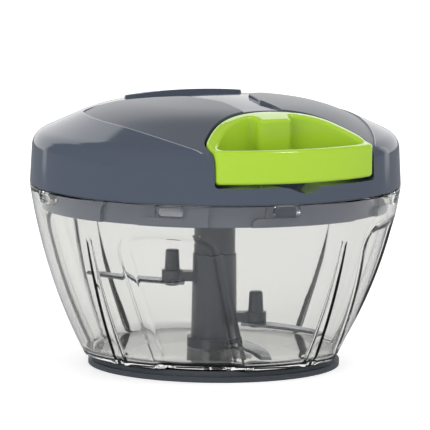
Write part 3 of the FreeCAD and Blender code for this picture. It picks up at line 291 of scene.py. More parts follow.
def sheet(work, points, triangles=()):
    """Vertices at points in millimetres, with faces between them. Returns the vertices."""
    vertices = [work.verts.new((x * MM, y * MM, z * MM)) for x, y, z in points]
    for triangle in triangles:
        work.faces.new([vertices[index] for index in triangle])
    return vertices


def bridge(work, rows):
    """Faces between closed rows of vertices, each joined to the next. A row may be a single vertex."""
    for low, high in zip(rows, rows[1:]):
        count = max(len(low), len(high))
        for index in range(count):
            after = (index + 1) % count
            if len(low) == 1:
                work.faces.new((low[0], high[after], high[index]))
            elif len(high) == 1:
                work.faces.new((low[index], low[after], high[0]))
            else:
                work.faces.new((low[index], low[after], high[after], high[index]))


def lathe_rows(work, profile, columns, start=0.0):
    """Rings of vertices about the Z axis, joined by faces. Returns the rings."""
    angles = [start + 2 * math.pi * column / columns for column in range(columns)]
    rings = []
    for radius, height in profile:
        plan = [on_circle(radius, angle) for angle in (angles if radius > 1e-6 else angles[:1])]
        rings.append(sheet(work, raised(plan, height)))
    bridge(work, rings)
    return rings


def cut_away(target, tools, operation="DIFFERENCE"):
    """Takes closed meshes out of a closed mesh, or joins them to it."""
    for tool in tools:
        modifier = target.modifiers.new("cut", "BOOLEAN")
        modifier.operation = operation
        modifier.solver = "EXACT"
        modifier.object = tool
    bpy.context.view_layer.update()
    graph = bpy.context.evaluated_depsgraph_get()
    mesh = bpy.data.meshes.new_from_object(target.evaluated_get(graph))
    work = bmesh.new()
    work.from_mesh(mesh)
    weld(work)
    work.to_mesh(mesh)
    work.free()
    target.modifiers.clear()
    target.data = mesh
    for tool in tools:
        bpy.data.objects.remove(tool)
    return target


def prism(name, outline, bottom, top, edge=0.0):
    """A plain upright prism in millimetres, whose lower edge may be rounded."""
    work = bmesh.new()
    outline = counter_clockwise(outline)
    levels = [raised(inset(outline, edge * (1 - math.sin(angle))), bottom + edge * (1 - math.cos(angle)))
              for angle in np.arange(6 if edge else 0) * math.pi / 12]
    levels += [raised(outline, bottom + edge), raised(outline, top)]
    rows = [sheet(work, level) for level in levels]
    bridge(work, rows)
    work.faces.new(rows[0][::-1])
    work.faces.new(rows[-1])
    return from_bmesh(name, work)


# %% [markdown]
# ## Skins with relief
# A skin that goes round the axis is unrolled by angle and profile length, triangulated with the lines of
# its relief as constraints, pressed in by that relief and rolled up again. One quarter serves for all.

# %%
QUARTER_COLUMNS = 60


def relief_skin(work, profile, start, spacing, lines, relief):
    """Adds a skin to a bmesh. Lines are runs of (degrees, height), and relief gives the depth pressed in."""
    lengths = np.concatenate([[0], np.cumsum(np.hypot(*np.diff(profile, axis=0).T))])
    total = lengths[-1]
    scale = profile[:, 0].max() * 0.92
    flat = np.argmax(profile[:, 1] > profile[0, 1] + 1e-6) - 1

    def unroll(run):
        length = np.interp(run[:, 1], profile[flat:, 1], lengths[flat:])
        return np.column_stack([np.radians(run[:, 0]) * scale, np.clip(length, 0.4, total - 0.25)])

    low, high = math.radians(start) * scale, math.radians(start + 90.0) * scale
    arcs = np.linspace(low, high, QUARTER_COLUMNS + 1)
    levels = np.linspace(0, total, int(total / spacing) + 1)
    border = ([(arc, 0.0) for arc in arcs[:-1]] + [(high, level) for level in levels[:-1]]
              + [(arc, total) for arc in arcs[:0:-1]] + [(low, level) for level in levels[:0:-1]])
    near, far = spacing * 0.6, spacing * 0.5
    grid = hexagonal((low + near, near), (high - far, total - far), spacing)
    runs = [unroll(run) for run in lines]
    points, triangles = triangulate(clear_of(grid, np.concatenate(runs), far), [border], runs)
    turn = points[:, 0] / scale
    radius = np.interp(points[:, 1], lengths, profile[:, 0])
    height = np.interp(points[:, 1], lengths, profile[:, 1])
    radius = radius - relief(np.degrees(turn), height, radius) * np.clip(points[:, 1] / lengths[flat], 0, 1)
    for quarter in range(4):
        spin = turn + quarter * math.pi / 2
        sheet(work, np.column_stack([radius * np.cos(spin), radius * np.sin(spin), height]), triangles)


def oval(middle, length, height):
    """An oval in (sideways, height)."""
    half = (length - height) / 2
    end = height / 2
    return counter_clockwise(trace([
        (-half, middle - end, end), (half, middle - end), (half + end, middle, end),
        (half, middle + end, end), (-half, middle + end), (-half - end, middle, end),
    ], 0.5, closed=True))


# %% [markdown]
# ## The bowl
# Both skins carry the four slanted panels and the four folded ribs, and the inside has the bayonet's lugs.
# Pairs of values are for the outside and the inside.

# %%
curve_centre = RIM_RADIUS - math.sqrt(CURVE_RADIUS ** 2 - (RIM_HEIGHT - CURVE_HEIGHT) ** 2)
PANEL_ANGLE = 50.4
PANEL_TOP = 50.4
PANEL_EDGE = 3.0
RIB_ANGLE = 17.4
RIB_TOP = 49.0
RIB_FOOT_WIDTH = (4.6, 6.0)
RIB_TIP_WIDTH = (1.4, 1.8)
RIB_FOOT_DEPTH = (1.5, 2.0)
RIB_TIP_DEPTH = 0.5
CORNER_RADIUS = (1.6, 3.0)
FLOOR_BORDER = (3.6, 8.0)
LUG_ANGLE = 47.3
LUG_SPACING = 37.0
LUG_REACH = 59.5
LUG_HEIGHT = 61.0
QUARTER_START = 95.0


def bowl_radius(height, inward=0.0):
    """Radius of the bowl's curve at a height."""
    return curve_centre + math.sqrt((CURVE_RADIUS - inward) ** 2 - (height - CURVE_HEIGHT) ** 2)


def panel_window():
    """A panel's window seen along its own direction: (sideways, height)."""
    corners = [(-6.24, -8.0), (19.45, -8.0), (11.8, PANEL_TOP), (-22.0, PANEL_TOP, 60.0)]
    points = trace(corners, 0.8, closed=True)
    return counter_clockwise(rounded(points, [corners[2][:2], corners[3][:2]], 6.0))


def fold(sideways, half, depth):
    """Depth of a fold with steep flanks and a rounded back."""
    reach = np.minimum(np.abs(sideways) / half, 1)
    return depth * (1 - reach ** 2) ** 0.8


def bowl_skin(work, side):
    """The outside (side 0) or the inside (side 1) of the bowl, from a ring on its floor up to the rim."""
    inward = BOWL_WALL * side
    bottom = (RING_HEIGHT, FLOOR_TOP)[side]
    corner = CORNER_RADIUS[side]
    foot = bowl_radius(bottom + corner, inward)
    floor_edge = bowl_radius(bottom, inward) - corner
    start = floor_edge - FLOOR_BORDER[side]
    profile = np.array(trace([
        (start, bottom), (floor_edge, bottom), (foot, bottom + corner, corner * 1.12),
    ], 0.5) + trace([
        (foot, bottom + corner), (bowl_radius(RIM_EDGE, inward), RIM_EDGE, CURVE_RADIUS - inward),
    ], 1.4)[1:])
    wall = profile[profile[:, 1] > bottom + 0.01]
    panel_angle, rib_angle = PANEL_ANGLE + 90.0, RIB_ANGLE + 90.0
    window = panel_window()

    def around_axis(run, angle):
        """A run of (sideways, height) as (degrees, height)."""
        radius = np.interp(run[:, 1], wall[:, 1], wall[:, 0])
        return np.column_stack([angle + np.degrees(np.arcsin(run[:, 0] / radius)), run[:, 1]])

    def along_rib(height, foot_value, tip_value):
        share = np.clip((height - bottom) / (RIB_TOP - bottom), 0, 1)
        return foot_value * (1 - share) + tip_value * share

    def rib_half(height):
        return along_rib(height, RIB_FOOT_WIDTH[side], RIB_TIP_WIDTH[side]) / 2

    lines = []
    for distance in (-2.4, -1.5, -1.1, -0.4, 0.4, 1.1, 1.5, 2.4):
        lines.append(around_axis(open_run(inset(window, distance), bottom + 0.3), panel_angle))
    heights = np.linspace(bottom + 0.5, RIB_TOP, 36)
    for share in (-1.35, -1.0, -0.93, -0.75, -0.4, 0.0, 0.4, 0.75, 0.93, 1.0, 1.35):
        lines.append(around_axis(np.column_stack([share * rib_half(heights), heights]), rib_angle))
    lug = oval(LUG_HEIGHT, 9.0, 3.2)
    lug_angles = (LUG_ANGLE + 90.0, LUG_ANGLE + LUG_SPACING + 90.0) if side else ()
    for angle in lug_angles:
        for distance in (-0.2, 0.2):
            run = inset(lug, distance)
            lines.append(around_axis(np.concatenate([run, run[:1]]), angle))

    def relief(degrees, height, radius):
        def inside(outline, turn):
            return edge_distance(np.column_stack([radius * np.sin(turn), height]), outline)

        turn = np.radians(degrees - panel_angle)
        share = np.clip(0.5 + inside(window, turn) / PANEL_EDGE, 0, 1)
        climb = (height - RING_HEIGHT) / (RIM_HEIGHT - RING_HEIGHT)
        pressed = (2.5 - 1.0 * climb) * (0.4 * ease(share) + 0.6 * share) * (np.abs(turn) < 1.0)
        deep = along_rib(height, RIB_FOOT_DEPTH[side], RIB_TIP_DEPTH) * ease((RIB_TOP + 0.8 - height) / 1.6)
        pressed = np.maximum(pressed, fold(radius * np.radians(degrees - rib_angle), rib_half(height), deep))
        for angle in lug_angles:
            turn = np.radians(degrees - angle)
            share = ease(0.5 + inside(lug, turn) / 0.4) * (np.abs(turn) < 0.2)
            pressed = pressed + share * (radius - LUG_REACH / np.cos(turn))
        return pressed

    relief_skin(work, profile, QUARTER_START, 1.5, lines, relief)
    return start


def make_bowl():
    """Both skins, joined by the rim and closed by two floors, with the foot rib and the pin's boss."""
    work = bmesh.new()
    outer_edge, inner_edge = bowl_skin(work, 0), bowl_skin(work, 1)
    rim_out, rim_in = bowl_radius(RIM_EDGE), bowl_radius(RIM_EDGE, BOWL_WALL)
    rim = trace([(rim_out, RIM_EDGE), (rim_out - 0.4, RIM_HEIGHT, 0.45), (rim_in + 0.4, RIM_HEIGHT),
                 (rim_in, RIM_EDGE, 0.45)], 0.4)
    under = trace([(0.0, 0.8), (5.0, 0.8), (5.0, RING_HEIGHT), (38.4, RING_HEIGHT), (38.4, 1.6), (40.0, 1.6),
                   (40.0, RING_HEIGHT), (outer_edge, RING_HEIGHT)], 4.0)
    floor = trace([(0.0, 1.6), (2.42, 1.6), (2.42, FLOOR_TOP), (inner_edge, FLOOR_TOP)], 4.0)
    for profile in (rim, under, floor):
        lathe_rows(work, profile, 4 * QUARTER_COLUMNS, math.radians(QUARTER_START))
    weld(work)
    return from_bmesh("bowl_skin", work, 28.0)


bowl = make_bowl()
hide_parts("bowl")
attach(bowl, "base")


# %% [markdown]
# ## The lid's housing
# The top is a plan of the petals triangulated and raised onto the dome; the wall and the inside are turned.

# %%
def arc_height(radius, start, end, curve):
    """Height of the arc between two profile points at a radius from the axis, for an arc that bulges up."""
    centre = arc_centre(start, end, curve)
    return centre[1] + np.sqrt(np.maximum(curve ** 2 - (radius - centre[0]) ** 2, 0))


def crown_curve(crown):
    """Radius of the ball that the crown is a cap of."""
    sag = crown[0] - crown[1]
    return (CROWN_RADIUS ** 2 + sag ** 2) / (2 * sag)


def dome_height(radius, crown=CROWN, drop=0.0):
    """Height of the dome at a radius: crown, brow, slope, shoulder."""
    top, edge, brow_curve = crown
    curve = crown_curve(crown)
    brow, shoulder, wall = [(place, height - drop) for place, height in (BROW, SHOULDER, WALL_TOP)]
    radius = np.asarray(radius, float)
    crown_z = top - curve + np.sqrt(np.maximum(curve ** 2 - radius ** 2, 0))
    brow_z = arc_height(radius, brow, (CROWN_RADIUS, edge), brow_curve)
    slope_z = brow[1] + (shoulder[1] - brow[1]) * (radius - brow[0]) / (shoulder[0] - brow[0])
    shoulder_z = arc_height(np.minimum(radius, WALL_TOP[0]), wall, shoulder, SHOULDER_CURVE)
    return np.select(
        [radius < CROWN_RADIUS, radius < brow[0], radius < shoulder[0]],
        [crown_z, brow_z, slope_z], shoulder_z,
    )


PETAL_EDGE = 46.5
PAD_RADIUS = 34.0
PAD_FRONT = 20.5
wing_corners = [
    (7.5, -HANDLE_BACK), (32.2, -54.6), (47.4, -8.0, 110.0), (*spot(PETAL_EDGE, 30.0), 60.0), (12.2, -1.0),
    (7.5, -18.0),
]
pad_half = math.sqrt(PAD_RADIUS ** 2 - PAD_FRONT ** 2)
pad_corners = [(-pad_half, PAD_FRONT, PAD_RADIUS), (pad_half, PAD_FRONT)]


def petal_outline(corners, round_at, radius):
    points = trace(corners, 0.9, closed=True)
    return counter_clockwise(rounded(points, round_at, radius))


right_wing = petal_outline(wing_corners, [wing_corners[3][:2], wing_corners[4], wing_corners[5]], 5.0)
left_wing = counter_clockwise(right_wing * [-1, 1])
WINGS = (right_wing, left_wing)
back_pad = petal_outline(pad_corners, [corner[:2] for corner in pad_corners], 4.0)
HALF_STEP = 0.14
# The band just outside each wing gets a lighter colour, a painted highlight of its rim line: its width, the
# radius it starts at and the front end where it stops.
PAINTED_HIGHLIGHT_WIDTH = 0.5
PAINTED_HIGHLIGHT_START = 41.0
PAINTED_HIGHLIGHT_END = -53.0
PLAN_RADIUS = 64.0
COLUMNS = 288


def top_height(points):
    """Height of the housing's top over points in plan, petals included."""
    radius = np.hypot(*points.T)
    wings = np.any([within(points, outline) for outline in WINGS], 0)
    height = np.where(wings, dome_height(radius, PETAL_CROWN, PETAL_SINK), dome_height(radius))
    return np.where(within(points, back_pad), dome_height(radius, PAD_CROWN, PETAL_SINK - PAD_RISE), height)


def make_housing_block():
    """The closed outside of the housing, before anything is cut from it."""
    loops = [inset(outline, distance) for outline in (*WINGS, back_pad)
             for distance in (-HALF_STEP, HALF_STEP)]
    # Mesh lines along the outer border of the painted highlight band.
    painted_highlight_lines = [open_run(inset(outline, -PAINTED_HIGHLIGHT_WIDTH), PAINTED_HIGHLIGHT_END) for outline in WINGS[::-1]]
    rings = [[spot(radius, 360 * column / COLUMNS) for column in range(COLUMNS)]
             for radius in (PLAN_RADIUS, 63.7, 63.2, 62.5, 61.6, 60.5)]
    grid = hexagonal((-60, -60), (60, 60), 1.35)
    grid = clear_of(grid[np.hypot(*grid.T) < 59.6], np.concatenate(loops + painted_highlight_lines), 0.8)
    points, triangles = triangulate(grid, rings + loops, painted_highlight_lines)
    work = bmesh.new()
    sheet(work, raised(points, top_height(points)), triangles)
    edge = (PLAN_RADIUS, float(dome_height(PLAN_RADIUS)))
    lathe_rows(work, trace([edge, (*WALL_TOP, -SHOULDER_CURVE)], 0.5)
               + trace([WALL_TOP, (RIM_RADIUS, SEAM_HEIGHT + 0.25)], 2.4)[1:]
               + [(RIM_RADIUS - 0.25, SEAM_HEIGHT), (0.0, SEAM_HEIGHT)], COLUMNS)
    weld(work)
    return from_bmesh("lid_shell", work)


def round_corner(half, radius, centre_y, corner, way):
    """Where a corner's arc leaves a side at half and where it meets an arc about a point on the Y axis."""
    x = half - corner
    y = centre_y + way * math.sqrt((radius - corner) ** 2 - x ** 2)
    share = radius / (radius - corner)
    return y, (x * share, centre_y + (y - centre_y) * share)


def recess_outline(grow):
    """Plan of the handle grown outwards, open through the front."""
    half = HANDLE_HALF_WIDTH + grow
    radius = HANDLE_BACK_RADIUS + grow
    corner = 7.0 + grow
    back, (x, y) = round_corner(half, radius, -HANDLE_BACK_CENTRE, corner, 1)
    return trace([(-half, -80.0), (half, -80.0), (half, back), (x, y, corner), (-x, y, radius),
                  (-half, back, corner)], 0.7, closed=True)


def handle_outline(side_wall, back_wall, front_corner, back_corner, boss=None):
    """Plan of the handle, or of the opening within its walls, with a boss that stands in from the back."""
    half = HANDLE_HALF_WIDTH - side_wall
    front_radius = HANDLE_FRONT_RADIUS - side_wall
    back_radius = HANDLE_BACK_RADIUS - back_wall
    front, (front_x, front_y) = round_corner(half, front_radius, 0.0, front_corner, -1)
    back, (back_x, back_y) = round_corner(half, back_radius, -HANDLE_BACK_CENTRE, back_corner, 1)
    corners = [(-front_x, front_y, front_corner), (front_x, front_y, front_radius),
               (half, front, front_corner), (half, back), (back_x, back_y, back_corner)]
    if boss:
        width, end, foot = boss
        corners += [(width, foot, back_radius), (width, end), (-width, end), (-width, foot)]
    corners += [(-back_x, back_y, back_radius), (-half, back, back_corner), (-half, front)]
    return trace(corners, 0.6, closed=True)


def column_solid(name, place, radius, bottom, top, columns=32):
    outline = [on_circle(radius, 2 * math.pi * step / columns, place) for step in range(columns)]
    return prism(name, outline, bottom, top)


def laid_along_y(made, height):
    """Tips an upright piece over, so that what stood up points to the front at a height."""
    made.data.transform(Matrix.Translation((0, 0, height * MM)) @ Matrix.Rotation(math.radians(90), 4, "X"))
    return made


def along_y(name, radius, front, back):
    """A plain rod at the string's height, between two distances in front of the axis."""
    return laid_along_y(column_solid(name, (0, 0), radius, front, back, 48), STRING_HEIGHT)


SCREW_SPOTS = [spot(50.0, 45 + 90 * turn) for turn in range(4)]
SCREW_HOLE = 1.52
POST_RADIUS = 4.0
AXLE_BOSS = 6.5
AXLE_HOLE = 3.02
EYELET_HOLE = 2.32
SCOOP_HALF = 8.5
SCOOP_DEPTH = 2.2


def make_housing():
    block = make_housing_block()
    recess_room = prism("recess_room", recess_outline(RECESS_GAP), RECESS_FLOOR, 110.0, 1.3)
    recess_block = prism("recess_block", recess_outline(RECESS_GAP + LID_WALL), RECESS_FLOOR - 2.8, 112.0)
    work = bmesh.new()
    inner = [(0.0, 60.0), (RIM_RADIUS - LID_WALL, 60.0), (WALL_TOP[0] - LID_WALL, WALL_TOP[1] - LID_WALL),
             (SHOULDER[0] - LID_WALL / 2, SHOULDER[1] - LID_WALL, SHOULDER_CURVE),
             (BROW[0] - LID_WALL / 3, BROW[1] - LID_WALL), (CROWN_RADIUS, CROWN[1] - LID_WALL, CROWN[2]),
             (0.0, CROWN[0] - LID_WALL, crown_curve(CROWN))]
    lathe_rows(work, trace(inner, 3.0), 96)
    hollow = from_bmesh("hollow", work)
    posts = [column_solid("post", place, POST_RADIUS, 64.4, 99) for place in SCREW_SPOTS]
    cut_away(hollow, [recess_block, column_solid("boss", (0, 0), AXLE_BOSS, 86.8, 99), *posts])
    scoop = [(x, -SCOOP_DEPTH * math.cos(math.pi / 2 * x / SCOOP_HALF) ** 2)
             for x in np.linspace(-SCOOP_HALF, SCOOP_HALF, 25)]
    scoop += [(SCOOP_HALF, 3.0), (-SCOOP_HALF, 3.0)]
    scoop = laid_along_y(prism("scoop", scoop, 52.8, 75.0), RECESS_FLOOR)
    holes = [column_solid("screw_hole", place, SCREW_HOLE, 60.0, 70.2) for place in SCREW_SPOTS]
    holes += [along_y("eyelet_hole", EYELET_HOLE, 26.0, 34.3),
              column_solid("axle_hole", (0, 0), AXLE_HOLE, 80.0, 91.2)]
    cut_away(block, [hollow, recess_room, scoop, *holes])
    shade(block.data, 24.0)
    return block


def mark_petals(mesh):
    """Gives the petals the second material slot, and a band of the shell along a sunk wing's edge the third,
    a lighter colour that is a painted highlight.
    """
    centres = np.array([face.center for face in mesh.polygons]) / MM
    slopes = np.array([face.normal.z for face in mesh.polygons])
    plan = centres[:, :2]
    on_top = (slopes > 0.2) & (np.abs(centres[:, 2] - top_height(plan)) < 0.25)
    petal = np.any([within(plan, inset(outline, -0.12)) for outline in (*WINGS, back_pad)], 0)
    # The band outside a wing's edge is marked for the painted highlight.
    edge = np.any([within(plan, inset(outline, -PAINTED_HIGHLIGHT_WIDTH - 0.02)) for outline in WINGS], 0)
    edge &= (np.hypot(*plan.T) > PAINTED_HIGHLIGHT_START) & (plan[:, 1] > PAINTED_HIGHLIGHT_END + 0.3) & ~petal
    mesh.polygons.foreach_set("material_index", (on_top * np.where(petal, 1, edge * 2)).astype(np.int32))


housing = make_housing()
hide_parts("lid_housing")
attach(housing, "lid")


# %% [markdown]
# ## The loop handle

# %%
def flat_ring(work, outer, inner, height_of):
    """Triangles between two closed outlines, at the heights a function gives."""
    grid = hexagonal(outer.min(0), outer.max(0), 1.2)
    room = np.minimum(edge_distance(grid, outer), -edge_distance(grid, inner))
    points, triangles = triangulate(grid[room > 0.5], [outer, inner])
    centres = points[triangles].mean(1)
    between = within(centres, outer) & ~within(centres, inner)
    sheet(work, raised(points, height_of(points)), triangles[between])


def ring_solid(name, outer, inner, bottom, top_of):
    """A loop between two outlines with a shaped top, and its upper and lower edges rounded."""
    work = bmesh.new()
    edge, low_edge = 1.5, 1.4
    quarter = [math.pi / 2 * step / 6 for step in range(7)]
    foot = bottom + low_edge
    ends = []
    for outline, way in ((outer, 1), (inner, -1)):
        tops = top_of(inset(outline, way * edge)) - edge
        rings = [(inset(outline, way * low_edge * (1 - math.sin(angle))), foot - low_edge * math.cos(angle))
                 for angle in quarter]
        rings += [(outline, foot + (tops - foot) * step / 8) for step in range(1, 8)]
        rings += [(inset(outline, way * edge * (1 - math.cos(angle))), tops + edge * math.sin(angle))
                  for angle in quarter]
        bridge(work, [sheet(work, raised(*ring)) for ring in rings])
        ends.append((rings[0][0], rings[-1][0]))
    (outer_low, outer_high), (inner_low, inner_high) = ends
    flat_ring(work, outer_low, inner_low, lambda points: bottom)
    flat_ring(work, outer_high, inner_high, top_of)
    weld(work)
    return from_bmesh(name, work)


def handle_top(points):
    """Height of the handle's top: it follows the dome, then eases into a flatter slope at its front."""
    radius = np.hypot(*np.asarray(points).T)
    slope = (BROW[1] - SHOULDER[1]) / (SHOULDER[0] - BROW[0])
    front_slope = (SHOULDER[1] + HANDLE_RISE - HANDLE_FRONT_TOP) / (RIM_RADIUS - SHOULDER[0])
    past = radius - SHOULDER[0]
    soft = 1.6
    eased = np.where(np.abs(past) < soft, (past + soft) ** 2 / (4 * soft), np.maximum(past, 0))
    dome = dome_height(np.minimum(radius, SHOULDER[0])) - slope * np.maximum(past, 0)
    return dome + HANDLE_RISE + (slope - front_slope) * eased


def make_handle():
    """The loop with a boss for the string, which has room for the stopper."""
    half = 6.5
    back = -(HANDLE_BACK + HANDLE_BACK_WALL)
    front = back - 5.8
    foot = -HANDLE_BACK_CENTRE + math.sqrt((HANDLE_BACK_RADIUS - HANDLE_BACK_WALL) ** 2 - half ** 2)
    outer = counter_clockwise(handle_outline(0.0, 0.0, 2.5, 7.0))
    inner = handle_outline(HANDLE_WALL, HANDLE_BACK_WALL, 2.5, 3.8, (half, front, foot))
    inner = rounded(inner, [(half, front), (-half, front)], 2.4)
    inner = rounded(inner, [(half, foot), (-half, foot)], 1.8)
    made = ring_solid("handle_loop", outer, counter_clockwise(inner), HANDLE_BOTTOM, handle_top)
    near, far, aside = back - 0.9, back - 4.5, 3.3
    room = prism("room", [(-aside, far), (aside, far), (aside, near), (-aside, near)], 60.0, 84.0)
    cut_away(made, [room, along_y("hole", 1.5, 31.0, 40.0)])
    shade(made.data, 30.0)
    return made


handle = make_handle()
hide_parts("pull_handle")
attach(handle, "handle")


# %% [markdown]
# ## The lid base
# A turned plate whose skirt has a groove for each of the bowl's eight lugs. Each groove is bent round
# the axis from a flat outline of (sideways, height): a wide way in from below, then a level run with an end.

# %%
SKIRT_RADIUS = 60.9
SKIRT_BOTTOM = 55.8
GROOVE_DEPTH = 1.7
GROOVE_TOP = 62.9
GROOVE_LAND = 58.9


def bent_solid(name, outline, inner, outer, angle):
    """A solid between two radii over an outline, whose sideways lengths run round the skirt."""
    work = bmesh.new()
    outline = counter_clockwise(outline)
    grid = hexagonal(outline.min(0), outline.max(0), 1.0)
    grid = grid[edge_distance(grid, outline) > 0.5]
    points, triangles = triangulate(grid, [outline])
    triangles = triangles[within(points[triangles].mean(1), outline)]
    edges = []
    for radius in (inner, outer):
        plan = [on_circle(radius, math.radians(angle) + x / SKIRT_RADIUS) for x, _ in points]
        vertices = sheet(work, np.column_stack([plan, points[:, 1]]), triangles)
        edges.append(vertices[len(grid):len(grid) + len(outline)])
    bridge(work, edges)
    return from_bmesh(name, work)


def make_lid_base():
    bore = 9.42
    collar = 12.4
    collar_bottom = 58.6
    inside = SKIRT_RADIUS - 3.0
    plate_bottom, plate_top = 62.4, 64.4
    plate_edge = 62.3
    lip_top = plate_top + 2.0
    edge = 0.5
    work = bmesh.new()
    rings = lathe_rows(work, trace([
        (bore, collar_bottom), (collar - edge, collar_bottom), (collar, collar_bottom + edge, edge),
        (collar, plate_bottom), (inside, plate_bottom), (inside, SKIRT_BOTTOM + edge),
        (inside + edge, SKIRT_BOTTOM, edge), (SKIRT_RADIUS - edge, SKIRT_BOTTOM),
        (SKIRT_RADIUS, SKIRT_BOTTOM + edge, edge), (SKIRT_RADIUS, SEAM_HEIGHT), (plate_edge, SEAM_HEIGHT),
        (plate_edge, lip_top), (plate_edge - 2.0, lip_top), (plate_edge - 2.0, plate_top), (bore, plate_top),
    ], 4.0, closed=True), 240)
    bridge(work, [rings[-1], rings[0]])
    made = from_bmesh("lid_base_skirt", work)
    groove = rounded(trace([
        (-26.6, SKIRT_BOTTOM - 3.0), (-11.6, SKIRT_BOTTOM - 3.0), (-11.6, GROOVE_LAND - 2.6),
        (-9.0, GROOVE_LAND, -2.6), (5.7, GROOVE_LAND), (5.7, GROOVE_TOP), (-22.9, GROOVE_TOP),
        (-26.6, GROOVE_TOP - 3.7, 3.7),
    ], 0.7, closed=True), [(5.7, GROOVE_LAND), (5.7, GROOVE_TOP)], 1.6)
    foot, tip = GROOVE_LAND - 0.2, 62.0
    detent = trace([(-6.9, foot), (-5.7, foot), (-5.7, tip), (-6.3, tip)], 0.7, closed=True)
    tools = []
    ridges = []
    back = SKIRT_RADIUS - GROOVE_DEPTH
    for turn, place in enumerate(SCREW_SPOTS):
        for angle in (LUG_ANGLE + 90 * turn, LUG_ANGLE + LUG_SPACING + 90 * turn):
            tools.append(bent_solid("groove", groove, back, SKIRT_RADIUS + 1.0, angle))
            ridges.append(bent_solid("detent", detent, back - 0.5, SKIRT_RADIUS - 0.9, angle))
        tools.append(column_solid("screw_hole", place, SCREW_HOLE, plate_bottom - 1.0, plate_top + 1.0))
    cut_away(made, tools)
    cut_away(made, ridges, "UNION")
    shade(made.data, 30.0)
    return made


lid_base = make_lid_base()
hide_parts("lid_base")
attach(lid_base, "lid")


# %% [markdown]
# ## The string
# Its turns lie on the spool, a lead runs from them round the eyelet's mouth, and the last run lies straight
# from the eyelet to the stopper. The turns are pressed a little flat by the pull.

# %%
REEL_LINE = 18.0


def sweep(name, path, upright=STRING_RADIUS):
    """A cord along a path of points in millimetres, with its ends rounded off. Upright is its half height."""
    work = bmesh.new()
    path = np.asarray(path, float)
    ways = np.gradient(path, axis=0)
    ways /= np.linalg.norm(ways, axis=1)[:, None]
    shares = [math.sin(math.pi / 2 * step / 4.4) for step in range(1, 5)]
    near, far = [[(path[end] - ways[end] * way * STRING_RADIUS * 0.5 * (1 - share), ways[end], share)
                  for share in shares] for end, way in ((0, -1), (-1, 1))]
    middle = [(point, way, 1.0) for point, way in zip(path[1:-1], ways[1:-1])]
    rings = []
    for centre, way, share in near + middle + far[::-1]:
        side = np.array([way[1], -way[0], 0.0])
        side /= np.linalg.norm(side)
        up = np.cross(side, way)
        flat_ways = [on_circle(1.0, 2 * math.pi * column / 16) for column in range(16)]
        rings.append(sheet(work, [centre + share * (side * STRING_RADIUS * across + up * upright * along)
                                  for across, along in flat_ways]))
    bridge(work, rings)
    work.faces.new(rings[0][::-1])
    work.faces.new(rings[-1])
    return from_bmesh(name, work, 50.0)


def make_winding():
    """Three flattened turns side by side."""
    flat = 0.68
    low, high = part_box("string_winding")
    bottom = low.z / MM + flat
    top = high.z / MM - flat
    turns = np.linspace(0, 3, 217)
    angles = 2 * math.pi * turns - math.pi / 2
    heights = bottom + (top - bottom) * turns / 3
    path = np.column_stack([REEL_LINE * np.cos(angles), REEL_LINE * np.sin(angles), heights])
    return sweep("wound_string", path, flat)


def make_lead():
    """From the turns, straight to the eyelet's mouth, round its edge and into its bore."""
    bend = 3.96
    corner = np.array([-bend, -30.3])
    reach = math.hypot(*corner)
    heading = math.atan2(corner[1], corner[0]) + math.asin((REEL_LINE + bend) / reach)
    way = np.array([math.cos(heading), math.sin(heading)])
    left = np.array([-way[1], way[0]])
    touch = corner + left * bend
    begin = touch - way * (math.sqrt(reach ** 2 - (REEL_LINE + bend) ** 2)
                           - math.sqrt(20.4 ** 2 - REEL_LINE ** 2))
    end = -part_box("string_lead")[0].y / MM
    plan = trace([tuple(begin), tuple(touch), (0.0, corner[1], -bend), (0.0, -end)], 0.5)
    return sweep("string_lead_cord", [(x, y, STRING_HEIGHT) for x, y in plan])


def make_string():
    """The straight run from the eyelet to the stopper."""
    low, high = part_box("string_pull")
    path = [(0.0, y, STRING_HEIGHT) for y in np.linspace(high.y / MM, low.y / MM, 33)]
    made = sweep("string_run", path)
    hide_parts("string_pull")
    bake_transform(made)
    return made


winding = make_winding()
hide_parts("string_winding")
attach(winding, "reel")
string_lead = make_lead()
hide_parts("string_lead")
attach(string_lead, "lid")
string_run = make_string()


# %% [markdown]
# ## Materials

# %%
def put(tree, node, inputs):
    """Sets a node's inputs by name or place, each to a value or to another node's output."""
    for name, value in inputs.items():
        if isinstance(value, bpy.types.NodeSocket):
            tree.links.new(value, node.inputs[name])
        else:
            node.inputs[name].default_value = value


def add(tree, kind, inputs, **settings):
    """A new node with its settings and inputs."""
    made = tree.nodes.new("ShaderNode" + kind)
    for name, value in settings.items():
        setattr(made, name, value)
    put(tree, made, inputs)
    return made


made_looks = {}


def material(name):
    """Keeps a new material under its name, and gives its node tree and its shader."""
    made = made_looks[name] = bpy.data.materials.new(name)
    made.use_nodes = True
    return made.node_tree, made.node_tree.nodes["Principled BSDF"]


def object_noise(tree, scale, detail=3.0, stretch=(1, 1, 1)):
    """Noise in object coordinates, stretched along an axis where a number is small."""
    place = add(tree, "TexCoord", {})
    mapping = add(tree, "Mapping", {"Vector": place.outputs["Object"], "Scale": stretch})
    noise = add(tree, "TexNoise", {"Vector": mapping.outputs["Vector"], "Scale": scale, "Detail": detail})
    return noise.outputs["Fac"]


def spread(tree, source, low, high):
    """A value between low and high from a noise's output."""
    inputs = {"Value": source, "From Min": 0.3, "From Max": 0.7, "To Min": low, "To Max": high}
    return add(tree, "MapRange", inputs).outputs["Result"]


def bump(tree, shader, source, strength, distance):
    lifted = add(tree, "Bump", {"Height": source, "Strength": strength, "Distance": distance})
    put(tree, shader, {"Normal": lifted.outputs["Normal"]})


def tint(tree, shader, source, dark, light):
    """A colour that drifts between two shades."""
    mix = add(tree, "Mix", {"Factor": source, "A": (*dark, 1), "B": (*light, 1)}, data_type="RGBA")
    put(tree, shader, {"Base Color": mix.outputs["Result"]})


